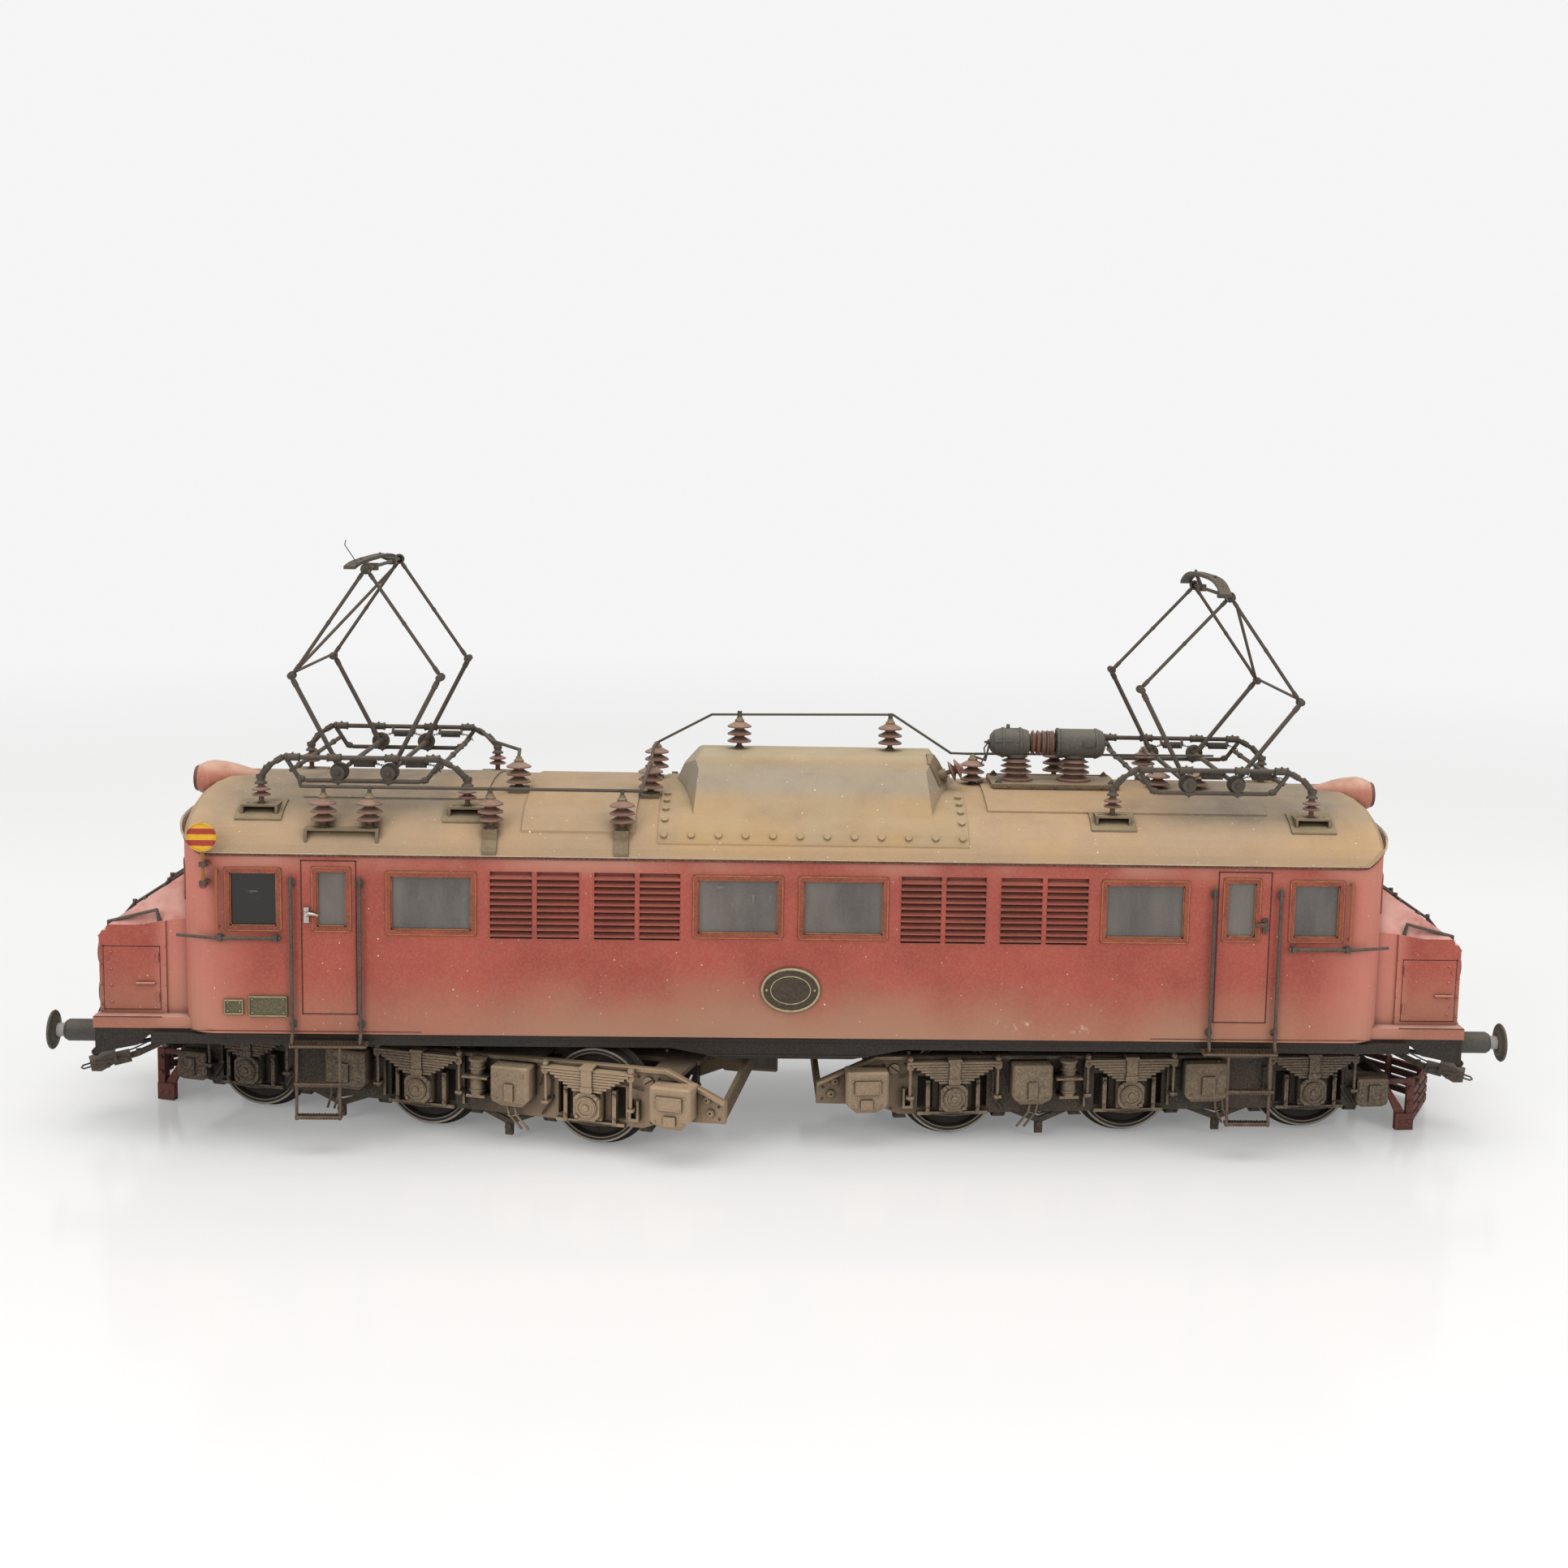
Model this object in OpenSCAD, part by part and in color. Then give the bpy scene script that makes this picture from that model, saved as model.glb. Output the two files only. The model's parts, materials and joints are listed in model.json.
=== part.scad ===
// Model electric locomotive on two three-axle bogies, with two diamond pantographs.
// X runs along the body, Y across it, Z up. The origin is under the middle of the
// body, at the lowest points of the wheel flanges. The near side is -Y.

/* [Body] */
// Half length of the body over the bowed cab fronts
body_half_length = 153; // [152.5:0.1:153.5]
// Half width over the side walls
body_half_width = 35; // [34.8:0.1:35.2]
// Height of the foot of the side walls
wall_foot = 29.5; // [29.5:0.1:29.8]
// Height of the top of the side walls
wall_top = 74.5; // [74.3:0.1:74.8]
// Thickness of the walls
wall_thickness = 1.6; // [1.4:0.1:1.8]
// Height of the roof along its middle
roof_crown = 88; // [87.8:0.1:88.2]
// Distance from the middle to the front of each nose
nose_front = 170.6; // [170.4:0.1:170.8]

/* [Bogies] */
// Distance from the middle of the body to each bogie's pivot
bogie_pivot = 86.4; // [86:0.1:87]
// Radius of the wheels over their flanges
flange_radius = 13.4; // [13.2:0.1:13.4]
// Radius of the wheels at the tread
tread_radius = 12.2; // [12:0.1:12.3]
// Distance between the backs of a pair of wheels
back_to_back = 29; // [28.8:0.1:29.2]
// Turn of the left bogie at rest, anticlockwise from above
left_yaw = -16.7; // [-16.7:0.1:0]
// Turn of the right bogie at rest, anticlockwise from above
right_yaw = 4.3; // [0:0.1:8]

/* [Pantographs] */
// Middle of the left pantograph along the body
left_pantograph = -105.1; // [-105.5:0.1:-104.5]
// Middle of the right pantograph along the body
right_pantograph = 104.8; // [104.3:0.1:105.3]
// Length of a lower arm from pivot to knee
lower_arm = 26.1; // [25.8:0.1:26.4]
// Length of an upper arm from knee to top pin
upper_arm = 31.9; // [31.6:0.1:32.2]
// Elevation of the left pantograph's west and east lower arms
left_lift = [62.9, 62.9]; // [55:0.1:65]
// Elevation of the right pantograph's west and east lower arms
right_lift = [62.3, 52.4]; // [50:0.1:65]

/* [Buffers and couplers] */
// Distance from the middle of the body to the buffer faces
buffer_face = 185; // [184.8:0.1:185.4]
// Half distance between the two buffers of an end
buffer_side = 19.4; // [19:0.1:20]
// Height of the buffers
buffer_height = 25.3; // [25:0.1:25.6]
// Swing of each coupler towards the near side at rest
coupler_swing = 22; // [0:1:24]

/* [Hidden] */
$fn = 24;

// Fits
running_clearance = 0.05;
eye_hole = 0.5;
open_eye_hole = 1;

// Body outline
bow_radius = 90;
corner_radius = 9;
roof_overhang = 0.9;
front_wall_top = 79.4;
roof_thickness = 1.3;
deck_thickness = 1.3;
deck_foot = wall_foot - deck_thickness;
sole_foot = 26.3;

// Roof arch: a wide crown arc and a tight arc down to each eave
crown_radius = 90;
crown_angle = 15.5;
eave_radius = 18.6;
crown_middle = [0, roof_crown - crown_radius];
eave_middle = crown_middle + (crown_radius - eave_radius) * [sin(crown_angle), cos(crown_angle)];

// Openings in the side walls: middle, half width, foot and head, mirrored end for end
middle_window = [12.9, 11, 54.6, 70.3];
end_window = [87.5, 10.9, 54.6, 70.3];
cab_window = [130.3, 6.8, 55.2, 70.8];
inner_louvre = [37.55, 11.15, 53.9, 70.6];
outer_louvre = [62.5, 11.5, 53.9, 70.6];
cab_door = [112.15, 6.55, 34.7, 72.6];
door_window = [111.5, 4.7, 55.2, 71.2];
front_window = [25.2, 4.3, 61.4, 70.2];
frame_bar = 1.2;

// Noses
nose_half_width = 28;
nose_skirt_half_width = 31.4;
nose_skirt_head = 32.3;
nose_root = 147.2;
nose_shell = 1.1;

// Hood on the roof
hood_ends = [-29.9, 42.4];
hood_lean = [19.3, 25.4];
hood_spread = [0.239, 0.316];
hood_flange = [-32.8, 43.5];
hood_ridge = 96.6;
hood_shoulder = [17, 93.6];
hood_eave = [32.6, 78.6];

// Pantographs
drum_gap = 6.1;
drum_height = 93.1;
rail_side = 27.4;
insulator_side = 26.5;
outer_plane = 22.5;
inner_plane = 21.2;
arm_plane = 23.9;
shaft_radius = 0.6;
knob_radius = 0.85;
pin_radius = 0.45;
strut_side = 12;
link_start = 0.03;
link_end = 0.915;

// Bogies, in their own frame: u towards the end of the locomotive, v across, z up
axle_height = flange_radius;
axles = [47.2, -0.8, -46.4];
wheel_back = back_to_back / 2;
wheel_width = 4.6;
plate_inside = 20.8;
plate_outside = 22.2;
axle_radius = 1.5;
journal_radius = 1;
spine_foot = 20.4;
spine_head = 21.6;
king_pin_radius = 2;
motor_teeth = 12;
wheel_teeth = 32;
tooth_module = 0.5;
gear_centres = tooth_module * (motor_teeth + wheel_teeth) / 2;
motor_u = axles[1] - gear_centres;

// Couplers, buffer beams and buffers
coupler_pivot = 152;
beam_back = nose_front - 1.3;
stock_radius = 2.75;
stock_mouth = 181.3;
shank_radius = 1.7;
plunger_back = 176.6;

function flip_x(points) = [for (i = [len(points) - 1:-1:0]) [-points[i][0], points[i][1]]];
function flip_y(points) = [for (i = [len(points) - 1:-1:0]) [points[i][0], -points[i][1]]];
function arc(centre, r, from, to, steps) = [
    for (i = [0:steps]) let (a = from + (to - from) * i / steps) centre + r * [cos(a), sin(a)]
];

// Plan of the body: bowed ends that run through round corners into straight sides
function plan_quarter(half_length, half_width, corner) =
    let (
        reach = half_width - corner,
        run = sqrt(pow(bow_radius - corner, 2) - reach * reach),
        turn = atan2(reach, run),
        bow_middle = half_length - bow_radius
    )
    concat(
        arc([bow_middle, 0], bow_radius, 0, turn, 6),
        arc([bow_middle + run, reach], corner, turn, 90, 6)
    );
function plan(inset) =
    let (
        quarter = plan_quarter(body_half_length - inset, body_half_width - inset, corner_radius - inset),
        half = concat(quarter, flip_x(quarter))
    )
    concat(half, flip_y([for (i = [1:len(half) - 2]) half[i]]));

// Cross section of the roof's outside, moved out by grow, closed along its eaves
function arch(grow) =
    let (
        eave_turn = asin((wall_top - eave_middle[1]) / eave_radius),
        right = concat(
            arc(eave_middle, eave_radius + grow, eave_turn, 90 - crown_angle, 7),
            arc(crown_middle, crown_radius + grow, 90 - crown_angle + 3, 90, 4)
        )
    )
    concat(right, [for (i = [len(right) - 2:-1:0]) [-right[i][0], right[i][1]]]);

module both_sides() {
    children();
    mirror([0, 1, 0]) children();
}

module both_ends() {
    children();
    mirror([1, 0, 0]) children();
}

// A box from its low corner to its high corner
module block(low, high) {
    translate(low) cube(high - low);
}

// A round bar between two points
module rod(start, end, r) {
    v = end - start;
    translate(start)
        rotate([0, acos(v[2] / norm(v)), atan2(v[1], v[0])])
            cylinder(h = norm(v), r = r);
}

// A round bar through several points; each straight runs a little past its bends, and
// every second one is slightly thinner, so that they bite into each other
module bent_rod(points, r) {
    last = len(points) - 1;
    for (i = [1:last]) {
        start = points[i - 1];
        end = points[i];
        past = 0.5 * r * (end - start) / norm(end - start);
        first = i > 1 ? start - past : start;
        second = i < last ? end + past : end;
        rod(first, second, i % 2 == 1 ? r : 0.95 * r);
    }
}

// A prism with its outline in X and Z, from y = low to y = high
module side_prism(outline, low, high) {
    translate([0, high, 0]) rotate([90, 0, 0]) linear_extrude(high - low) polygon(outline);
}

// A prism with its outline in Y and Z, from x = low to x = high
module end_prism(outline, low, high) {
    translate([low, 0, 0]) rotate([90, 0, 90]) linear_extrude(high - low) polygon(outline);
}

// A cylinder along Y
module cross_cylinder(centre, r, low, high) {
    translate([centre[0], high, centre[1]]) rotate([90, 0, 0]) cylinder(h = high - low, r = r);
}

// A cylinder along X
module long_cylinder(centre, r, low, high) {
    translate([low, centre[0], centre[1]]) rotate([0, 90, 0]) cylinder(h = high - low, r = r);
}

// Everything under the roof's outer skin, grown outwards, down past the foot of the walls
module under_roof(grow = 0, reach = 200) {
    eave = arch(grow)[0][0];
    end_prism(concat([[eave, 20]], arch(grow), [[-eave, 20]]), -reach, reach);
}

// Everything behind the domed cab fronts, which lean back towards the roof
module behind_domes(inset) {
    rise = [[0, 20], [bow_radius + 0.9, 20], [bow_radius + 0.9, 75], [bow_radius + 0.3, 77.5],
            [bow_radius - 1.8, 82], [bow_radius - 3.6, 84.6], [bow_radius - 6, 86.4], [bow_radius - 11, 88.6],
            [0, 88.6]];
    for (s = [-1, 1])
        translate([s * (body_half_length - bow_radius), 0, 0])
            rotate_extrude($fn = 120) polygon([for (p = rise) [max(0, p[0] - inset), p[1]]]);
}

// The roof's side of the joint between roof and walls, which climbs at the cab fronts
module above_walls(reach = 60) {
    side_prism([
        [-170, front_wall_top], [-150, front_wall_top], [-143, wall_top], [143, wall_top],
        [150, front_wall_top], [170, front_wall_top], [170, 120], [-170, 120]
    ], -reach, reach);
}

// The hole for an opening [middle, half width, foot, head] in the near side wall
module side_hole(opening, inset = 0, low = -40, high = -30) {
    block([opening[0] - opening[1] + inset, low, opening[2] + inset],
          [opening[0] + opening[1] - inset, high, opening[3] - inset]);
}

// The hole for a front window [middle in Y, half width, foot, head] in the right cab front
module front_hole(inset = 0, low = 140, high = 160) {
    w = front_window;
    block([low, w[0] - w[1] + inset, w[2] + inset], [high, w[0] + w[1] - inset, w[3] - inset]);
}

// The outside or inside of body and roof together
module body_form(inset, top) {
    intersection() {
        translate([0, 0, wall_foot - (inset > 0 ? 1 : 0)]) linear_extrude(top) polygon(plan(inset));
        under_roof(-inset - 0.02);
        behind_domes(inset);
    }
}

module body_shell() {
    color([0.66, 0.3, 0.26]) difference() {
        body_form(0, 60);
        body_form(wall_thickness, 60);
        above_walls();
        both_sides() both_ends() {
            side_hole(middle_window);
            side_hole(end_window);
            side_hole(cab_window);
            side_hole(inner_louvre);
            side_hole(outer_louvre);
            side_hole(cab_door);
            front_hole();
        }
    }
}

module roof_form() {
    intersection() {
        under_roof();
        behind_domes(0);
        above_walls();
        translate([0, 0, wall_top]) linear_extrude(30) polygon(plan(-roof_overhang));
    }
}

module roof() {
    color([0.6, 0.54, 0.42]) difference() {
        roof_form();
        intersection() {
            under_roof(-roof_thickness);
            behind_domes(wall_thickness);
            translate([0, 0, wall_top - 1]) linear_extrude(30) polygon(plan(wall_thickness));
        }
    }
}

// Outline of the hood across the roof, moved in by inset
function hood_section(inset) =
    let (
        right = [
            [hood_eave[0] - inset, 60], [hood_eave[0] - inset, hood_eave[1] - inset],
            [hood_shoulder[0] - inset, hood_shoulder[1] - inset],
            [7, hood_ridge - 0.5 - inset], [0, hood_ridge - inset]
        ]
    )
    concat(right, [for (i = [3:-1:0]) [-right[i][0], right[i][1]]]);

// Outline of the hood along the roof at its middle, moved in by inset
function hood_profile(inset) = [
    [hood_ends[0] - 4 + inset, 60], [hood_ends[0] + inset, roof_crown],
    [hood_ends[0] + 2 + inset, 92.4 - inset], [-22.8 + inset, hood_ridge - inset],
    [34 - inset, hood_ridge - inset], [36.2 - inset, 96 - inset],
    [hood_ends[1] - inset, roof_crown], [hood_ends[1] + 4 - inset, 60]
];

// Space behind the two faces of the hood's left or right end: they meet on its middle
// line, lean in and fall back towards the sides
module behind_hood_end(i, inset) {
    translate([hood_ends[i], 0, roof_crown]) mirror([i, 0, 0]) rotate([0, hood_lean[i], 0])
        translate([inset, 0, -60]) linear_extrude(120) polygon([
            [0, 0], [40 * hood_spread[i], -40], [120, -40], [120, 40], [40 * hood_spread[i], 40]
        ]);
}

module hood_form(inset) {
    intersection() {
        end_prism(hood_section(inset), -60, 70);
        side_prism(hood_profile(inset), -40, 40);
        behind_hood_end(0, inset);
        behind_hood_end(1, inset);
    }
}

// Direction out of the roof, and the point on it, at a distance y from its middle
function roof_centre(y) = y > crown_radius * sin(crown_angle) ? eave_middle : crown_middle;
function roof_bend(y) = y > crown_radius * sin(crown_angle) ? eave_radius : crown_radius;
module rivet(x, y) {
    turn = asin((y - roof_centre(y)[0]) / roof_bend(y));
    translate([x, roof_centre(y)[0], roof_centre(y)[1]])
        rotate([-turn, 0, 0]) translate([0, 0, roof_bend(y) + 0.2]) cylinder(h = 0.65, r = 0.75);
}

module roof_hood() {
    first_rivet = hood_flange[0] + 1.5;
    last_rivet = hood_flange[1] - 1.5;
    rivet_step = (last_rivet - first_rivet) / 11;
    color([0.58, 0.52, 0.41]) difference() {
        union() {
            difference() {
                hood_form(0);
                hood_form(1);
            }
            intersection() {
                under_roof(0.25);
                difference() {
                    block([hood_flange[0], -34.2, 70], [hood_flange[1], 34.2, 100]);
                    hood_form(1);
                }
            }
            both_sides() mirror([0, 1, 0]) {
                for (i = [0:11]) rivet(first_rivet + i * rivet_step, hood_eave[0] + 0.1);
                for (x = [first_rivet, last_rivet], y = [29, 25, 20.5, 16]) rivet(x, y);
            }
        }
        under_roof();
    }
}

// A raised panel on the roof between two stations, out to half_width each side
module roof_panel(low, high, half_width) {
    intersection() {
        difference() {
            under_roof(0.45);
            under_roof();
        }
        block([low, -half_width, 70], [high, half_width, 95]);
    }
}

module roof_hatches() {
    color([0.6, 0.54, 0.43]) {
        roof_panel(-66, -38.5, 32.4);
        roof_panel(-121, -76.5, 20.8);
        roof_panel(49, 119.5, 23.8);
    }
}

// Side view of a nose: a box low at the front, with a hood that slopes up to the cab
nose_box_outline = [
    [nose_root, wall_foot], [nose_front, wall_foot], [nose_front, 50.8], [nose_front - 1.4, 53],
    [nose_front - 15, 55.4], [nose_root, 56.4]
];
nose_hood_outline = [
    [nose_root, 40], [nose_front - 2.6, 40], [nose_front - 2.6, 54.2], [150.6, 66], [nose_root, 67.2]
];

module nose_form(inset) {
    front_cut = nose_front - inset;
    side_cut = nose_half_width - inset;
    corner = 2.2;
    intersection() {
        translate([0, 0, 20]) linear_extrude(70) polygon([
            [nose_root - 2, -side_cut], [front_cut - corner, -side_cut],
            [front_cut - corner * 0.3, -side_cut + corner * 0.3], [front_cut, -side_cut + corner],
            [front_cut, side_cut - corner], [front_cut - corner * 0.3, side_cut - corner * 0.3],
            [front_cut - corner, side_cut], [nose_root - 2, side_cut]
        ]);
        union() {
            translate([0, 0, -inset])
                side_prism(nose_box_outline, -nose_half_width + inset, nose_half_width - inset);
            translate([0, 0, -inset]) intersection() {
                side_prism(nose_hood_outline, -40, 40);
                end_prism([
                    [-nose_half_width + inset, 40], [nose_half_width - inset, 40],
                    [nose_half_width - inset, 54.6], [14 - inset, 67.4], [-14 + inset, 67.4],
                    [-nose_half_width + inset, 54.6]
                ], 140, 180);
            }
        }
    }
}

module nose() {
    difference() {
        union() {
            nose_form(0);
            block([nose_root - 2, -nose_skirt_half_width, wall_foot],
                  [nose_front, nose_skirt_half_width, nose_skirt_head]);
        }
        translate([0, 0, -0.02]) nose_form(nose_shell);
        block([140, -nose_half_width + nose_shell, wall_foot - 1],
              [nose_front - nose_shell, nose_half_width - nose_shell, 45]);
        translate([0, 0, wall_foot - 5]) linear_extrude(60) polygon(plan(0));
        both_sides() block([155, -nose_half_width - 1, 33.3], [168.8, -nose_half_width + 0.5, 49.2]);
        both_sides() block([140, -nose_half_width - 0.1, nose_skirt_head],
                           [nose_front - 17, -nose_half_width + 0.5, 60]);
    }
}

module noses() {
    color([0.68, 0.33, 0.29]) both_ends() nose();
}

module locker_doors() {
    color([0.65, 0.3, 0.26]) both_sides() for (end = [-1, 1]) {
        middle = end * 161.9;
        grip = end < 0 ? -158.5 : 165.7;
        skin = -nose_half_width;
        block([middle - 6.75, skin - 0.15, 33.45], [middle + 6.75, skin + 0.5, 49.05]);
        rod([grip - 2.3, skin - 0.7, 40], [grip + 2.3, skin - 0.7, 40], 0.3);
        for (x = [grip - 1.9, grip + 1.9]) rod([x, skin - 0.7, 40], [x, skin, 40], 0.25);
        for (z = [37, 46], x = [-5.9, 5.9]) rod([middle + x, skin - 0.35, z], [middle + x, skin, z], 0.35);
    }
}

// Roof lamp: a round front that tapers back along the roof
lamp_axis = 86.6;
lamp_taper = [
    [0, 135.4], [1.4, 135.6], [2.6, 139], [3.7, 142.5], [4.4, 145.5], [4.7, 148.8],
    [4.4, 150.6], [3.6, 152.2],
    [3.1, 152.6], [0, 152.6]
];
nose_lamp = [-17.5, 45.6];

module lamp_housings() {
    color([0.66, 0.32, 0.28]) both_ends() {
        difference() {
            translate([0, 0, lamp_axis]) rotate([0, 90, 0]) rotate_extrude() polygon(lamp_taper);
            roof_form();
            translate([0, 0, 50]) linear_extrude(front_wall_top - 50) polygon(plan(-roof_overhang));
        }
        both_sides() difference() {
            long_cylinder(nose_lamp, 4.4, nose_front, nose_front + 1.4);
            long_cylinder(nose_lamp, 3.6, nose_front, nose_front + 2);
        }
    }
}

module lamp_lenses() {
    color([0.85, 0.85, 0.8]) both_ends() {
        long_cylinder([0, lamp_axis], 2.8, 152.6, 153.1);
        both_sides() long_cylinder(nose_lamp, 3.6, nose_front, nose_front + 0.8);
    }
}

// A door panel: the outer leaf fills its opening and a flange bears on the inside of the wall
module door_leaf() {
    difference() {
        union() {
            side_hole(cab_door, 0, -body_half_width - 0.05, -body_half_width + 1.6);
            side_hole(cab_door, -1, -body_half_width + wall_thickness, -body_half_width + 2.4);
        }
        side_hole(door_window);
    }
}

module cab_doors() {
    color([0.64, 0.3, 0.26]) both_sides() both_ends() {
        door_leaf();
        rod([117.6, -35.9, 59.5], [117.6, -34.9, 59.5], 0.35);
        rod([117.6, -35.9, 59.5], [115.4, -35.9, 59.5], 0.3);
    }
}

module side_frame_ring(opening) {
    difference() {
        side_hole(opening, 0, -body_half_width - 0.35, -body_half_width + wall_thickness);
        side_hole(opening, frame_bar);
    }
}

module window_frames() {
    color([0.65, 0.36, 0.16]) both_sides() both_ends() {
        side_frame_ring(middle_window);
        side_frame_ring(end_window);
        side_frame_ring(cab_window);
        side_frame_ring(door_window);
        difference() {
            intersection() {
                front_hole();
                translate([0, 0, 50]) linear_extrude(30) polygon(plan(-0.3));
            }
            front_hole(frame_bar);
            translate([0, 0, 49]) linear_extrude(32) polygon(plan(wall_thickness));
        }
    }
}

module side_pane(opening) {
    side_hole(opening, frame_bar, -body_half_width + 0.7, -body_half_width + 1.3);
}

module window_glass() {
    color([0.35, 0.36, 0.36]) both_sides() both_ends() {
        side_pane(middle_window);
        side_pane(end_window);
        side_pane(cab_window);
        side_pane(door_window);
        difference() {
            intersection() {
                front_hole(frame_bar);
                translate([0, 0, 50]) linear_extrude(30) polygon(plan(0.6));
            }
            translate([0, 0, 49]) linear_extrude(32) polygon(plan(1.2));
        }
    }
}

// Sawtooth cross section of a bank of slats
louvre_slats = 10;
function louvre_section(foot, head) =
    let (pitch = (head - foot - 0.8) / louvre_slats)
    concat(
        [[-body_half_width + wall_thickness, head], [-body_half_width + wall_thickness, foot]],
        [for (i = [0:louvre_slats - 1], p = [
            [-body_half_width + 0.9, foot + 0.4 + i * pitch + 0.02],
            [-body_half_width - 0.45, foot + 0.4 + i * pitch + 0.2],
            [-body_half_width + 0.9, foot + 0.4 + i * pitch + pitch - 0.25]
        ]) p],
        [[-body_half_width + 0.9, head]]
    );

module louvre_bank(opening) {
    low = opening[0] - opening[1];
    high = opening[0] + opening[1];
    end_prism(louvre_section(opening[2], opening[3]), low + 0.7, opening[0] - 0.6);
    end_prism(louvre_section(opening[2], opening[3]), opening[0] + 0.6, high - 0.7);
    for (x = [low, opening[0] - 0.6])
        block([x, -body_half_width, opening[2]],
              [x + (x == low ? 0.7 : 1.2), -body_half_width + wall_thickness, opening[3]]);
    block([high - 0.7, -body_half_width, opening[2]], [high, -body_half_width + wall_thickness, opening[3]]);
}

module louvres() {
    color([0.63, 0.29, 0.25]) both_sides() both_ends() {
        louvre_bank(inner_louvre);
        louvre_bank(outer_louvre);
    }
}

// A handrail that stands off the near wall on two short pins
module wall_rail(start, end, r = 0.42) {
    rod(start, end, r);
    for (t = [0.04, 0.96])
        let (p = start + t * (end - start)) rod(p, [p[0], -body_half_width, p[2]], r * 0.8);
}

disc_mast = 0.45;

module handrails() {
    rail_y = -body_half_width - 1.3;
    color([0.3, 0.28, 0.26]) {
        both_sides() both_ends() {
            for (x = [104.5, 121]) wall_rail([x, rail_y, 30.6], [x, rail_y, 68.6]);
            wall_rail([124.2, rail_y, 53.6], [138.6, rail_y, 53.6]);
            rod([138.6, rail_y, 53.6], [148.6, rail_y + 0.6, 54.2], 0.4);
            wall_rail([138.7, rail_y, 55.6], [138.7, rail_y, 70.6]);
            difference() {
                union() {
                    bent_rod([[167.6, -27, 52.6], [167.6, -27, 55.2], [155.9, -27, 58.2],
                              [154.9, -27, 54.4]], 0.42);
                    bent_rod([[168, -15.5, 53.4], [165.2, -15.5, 56.8], [151, -15.5, 66.2]], 0.38);
                    for (p = [[164.8, 55.4, 57.2], [156.1, 60.6, 62.8]]) {
                        rod([p[0], -15.5, p[1]], [p[0], -15.5, p[2]], 0.35);
                        translate([p[0], -15.5, p[2]]) cylinder(h = 0.9, r = 0.55);
                    }
                }
                nose_form(0);
                translate([0, 0, 40]) linear_extrude(40) polygon(plan(0));
            }
        }
        for (z = [67.4, 72]) difference() {
            union() {
                cross_cylinder([-141.5, z], 0.5, -37.4, -33);
                translate([-141.5, -37.4, z - 0.5]) cylinder(h = 1, r = 0.95);
            }
            translate([-141.5, -37.4, z - 5]) cylinder(h = 10, r = disc_mast);
            translate([0, 0, 50]) linear_extrude(40) polygon(plan(0));
        }
    }
}

// Blank cast plates: two by each left cab door and an oval in the middle of each side
module builder_plates() {
    color([0.42, 0.38, 0.27]) both_sides() {
        for (p = [[-137.7, 34.3, -133, 38.1], [-131.8, 33.8, -122.4, 39]])
            difference() {
                block([p[0], -body_half_width - 0.5, p[1]], [p[2], -body_half_width, p[3]]);
                block([p[0] + 0.4, -body_half_width - 1, p[1] + 0.4],
                      [p[2] - 0.4, -body_half_width - 0.3, p[3] - 0.4]);
            }
        translate([0.3, -body_half_width, 41.8]) rotate([90, 0, 0]) linear_extrude(0.5)
            polygon([for (i = [0:35]) [7.4 * cos(i * 10), 5.7 * sin(i * 10)]]);
    }
}

// Insulator profile: a stem, conical sheds and a cap; r is the shed radius
module insulator(sheds, r, foot) {
    pitch = r * 0.62;
    rotate_extrude() polygon(concat(
        [[0, 0], [0.65, 0], [0.65, foot]],
        [for (i = [0:sheds - 1], p = [
            [r * 0.45, foot + i * pitch], [r, foot + i * pitch + 0.25],
            [r, foot + i * pitch + 0.55], [r * 0.42, foot + i * pitch + pitch * 0.8]
        ]) p],
        [[r * 0.3, foot + sheds * pitch + 0.3], [0, foot + sheds * pitch + 0.3]]
    ));
}

// Places of the pantograph insulators about a pantograph's middle, and of the line
// insulators: [x, y, foot height, stem length]
pantograph_feet = [for (x = [-24.95, 25.2], y = [-insulator_side, insulator_side]) [x, y]];
pantograph_foot_head = 85.2;
line_insulators = [
    [-113.7, -32.4, 80.6, 1.6], [-102.6, -32.4, 80.6, 1.6],
    [-73.4, -32.6, 80.9, 1.7], [-41.5, -32.6, 80.9, 1.7],
    [-69, -13.6, 87.9, 0.9], [-35.7, -15.6, 87.2, 1.1], [-35.3, 3, 88.5, 2],
    [-13.8, 0, 96.6, 1.4], [25.4, 0, 96.6, 1.4], [47.2, 0, 88, 0.8], [70.3, 12, 88.2, 1.4],
    [94.3, 12, 88.2, 1.6]
];
short_insulators = [[95.4, -4, 88.5, 0.5], [105.5, -4, 88.5, 0.5]];
line_shed = 3.1;
function line_top(i) = line_insulators[i][2] + line_insulators[i][3] + 3 * 0.62 * line_shed + 0.3;
pantograph_shed = 2.2;
lead_insulator = [39.6, -9, 92.2];
lead_lean = 68;
breaker_posts = [58.6, 73.8];
breaker_axis = 99.1;

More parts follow.
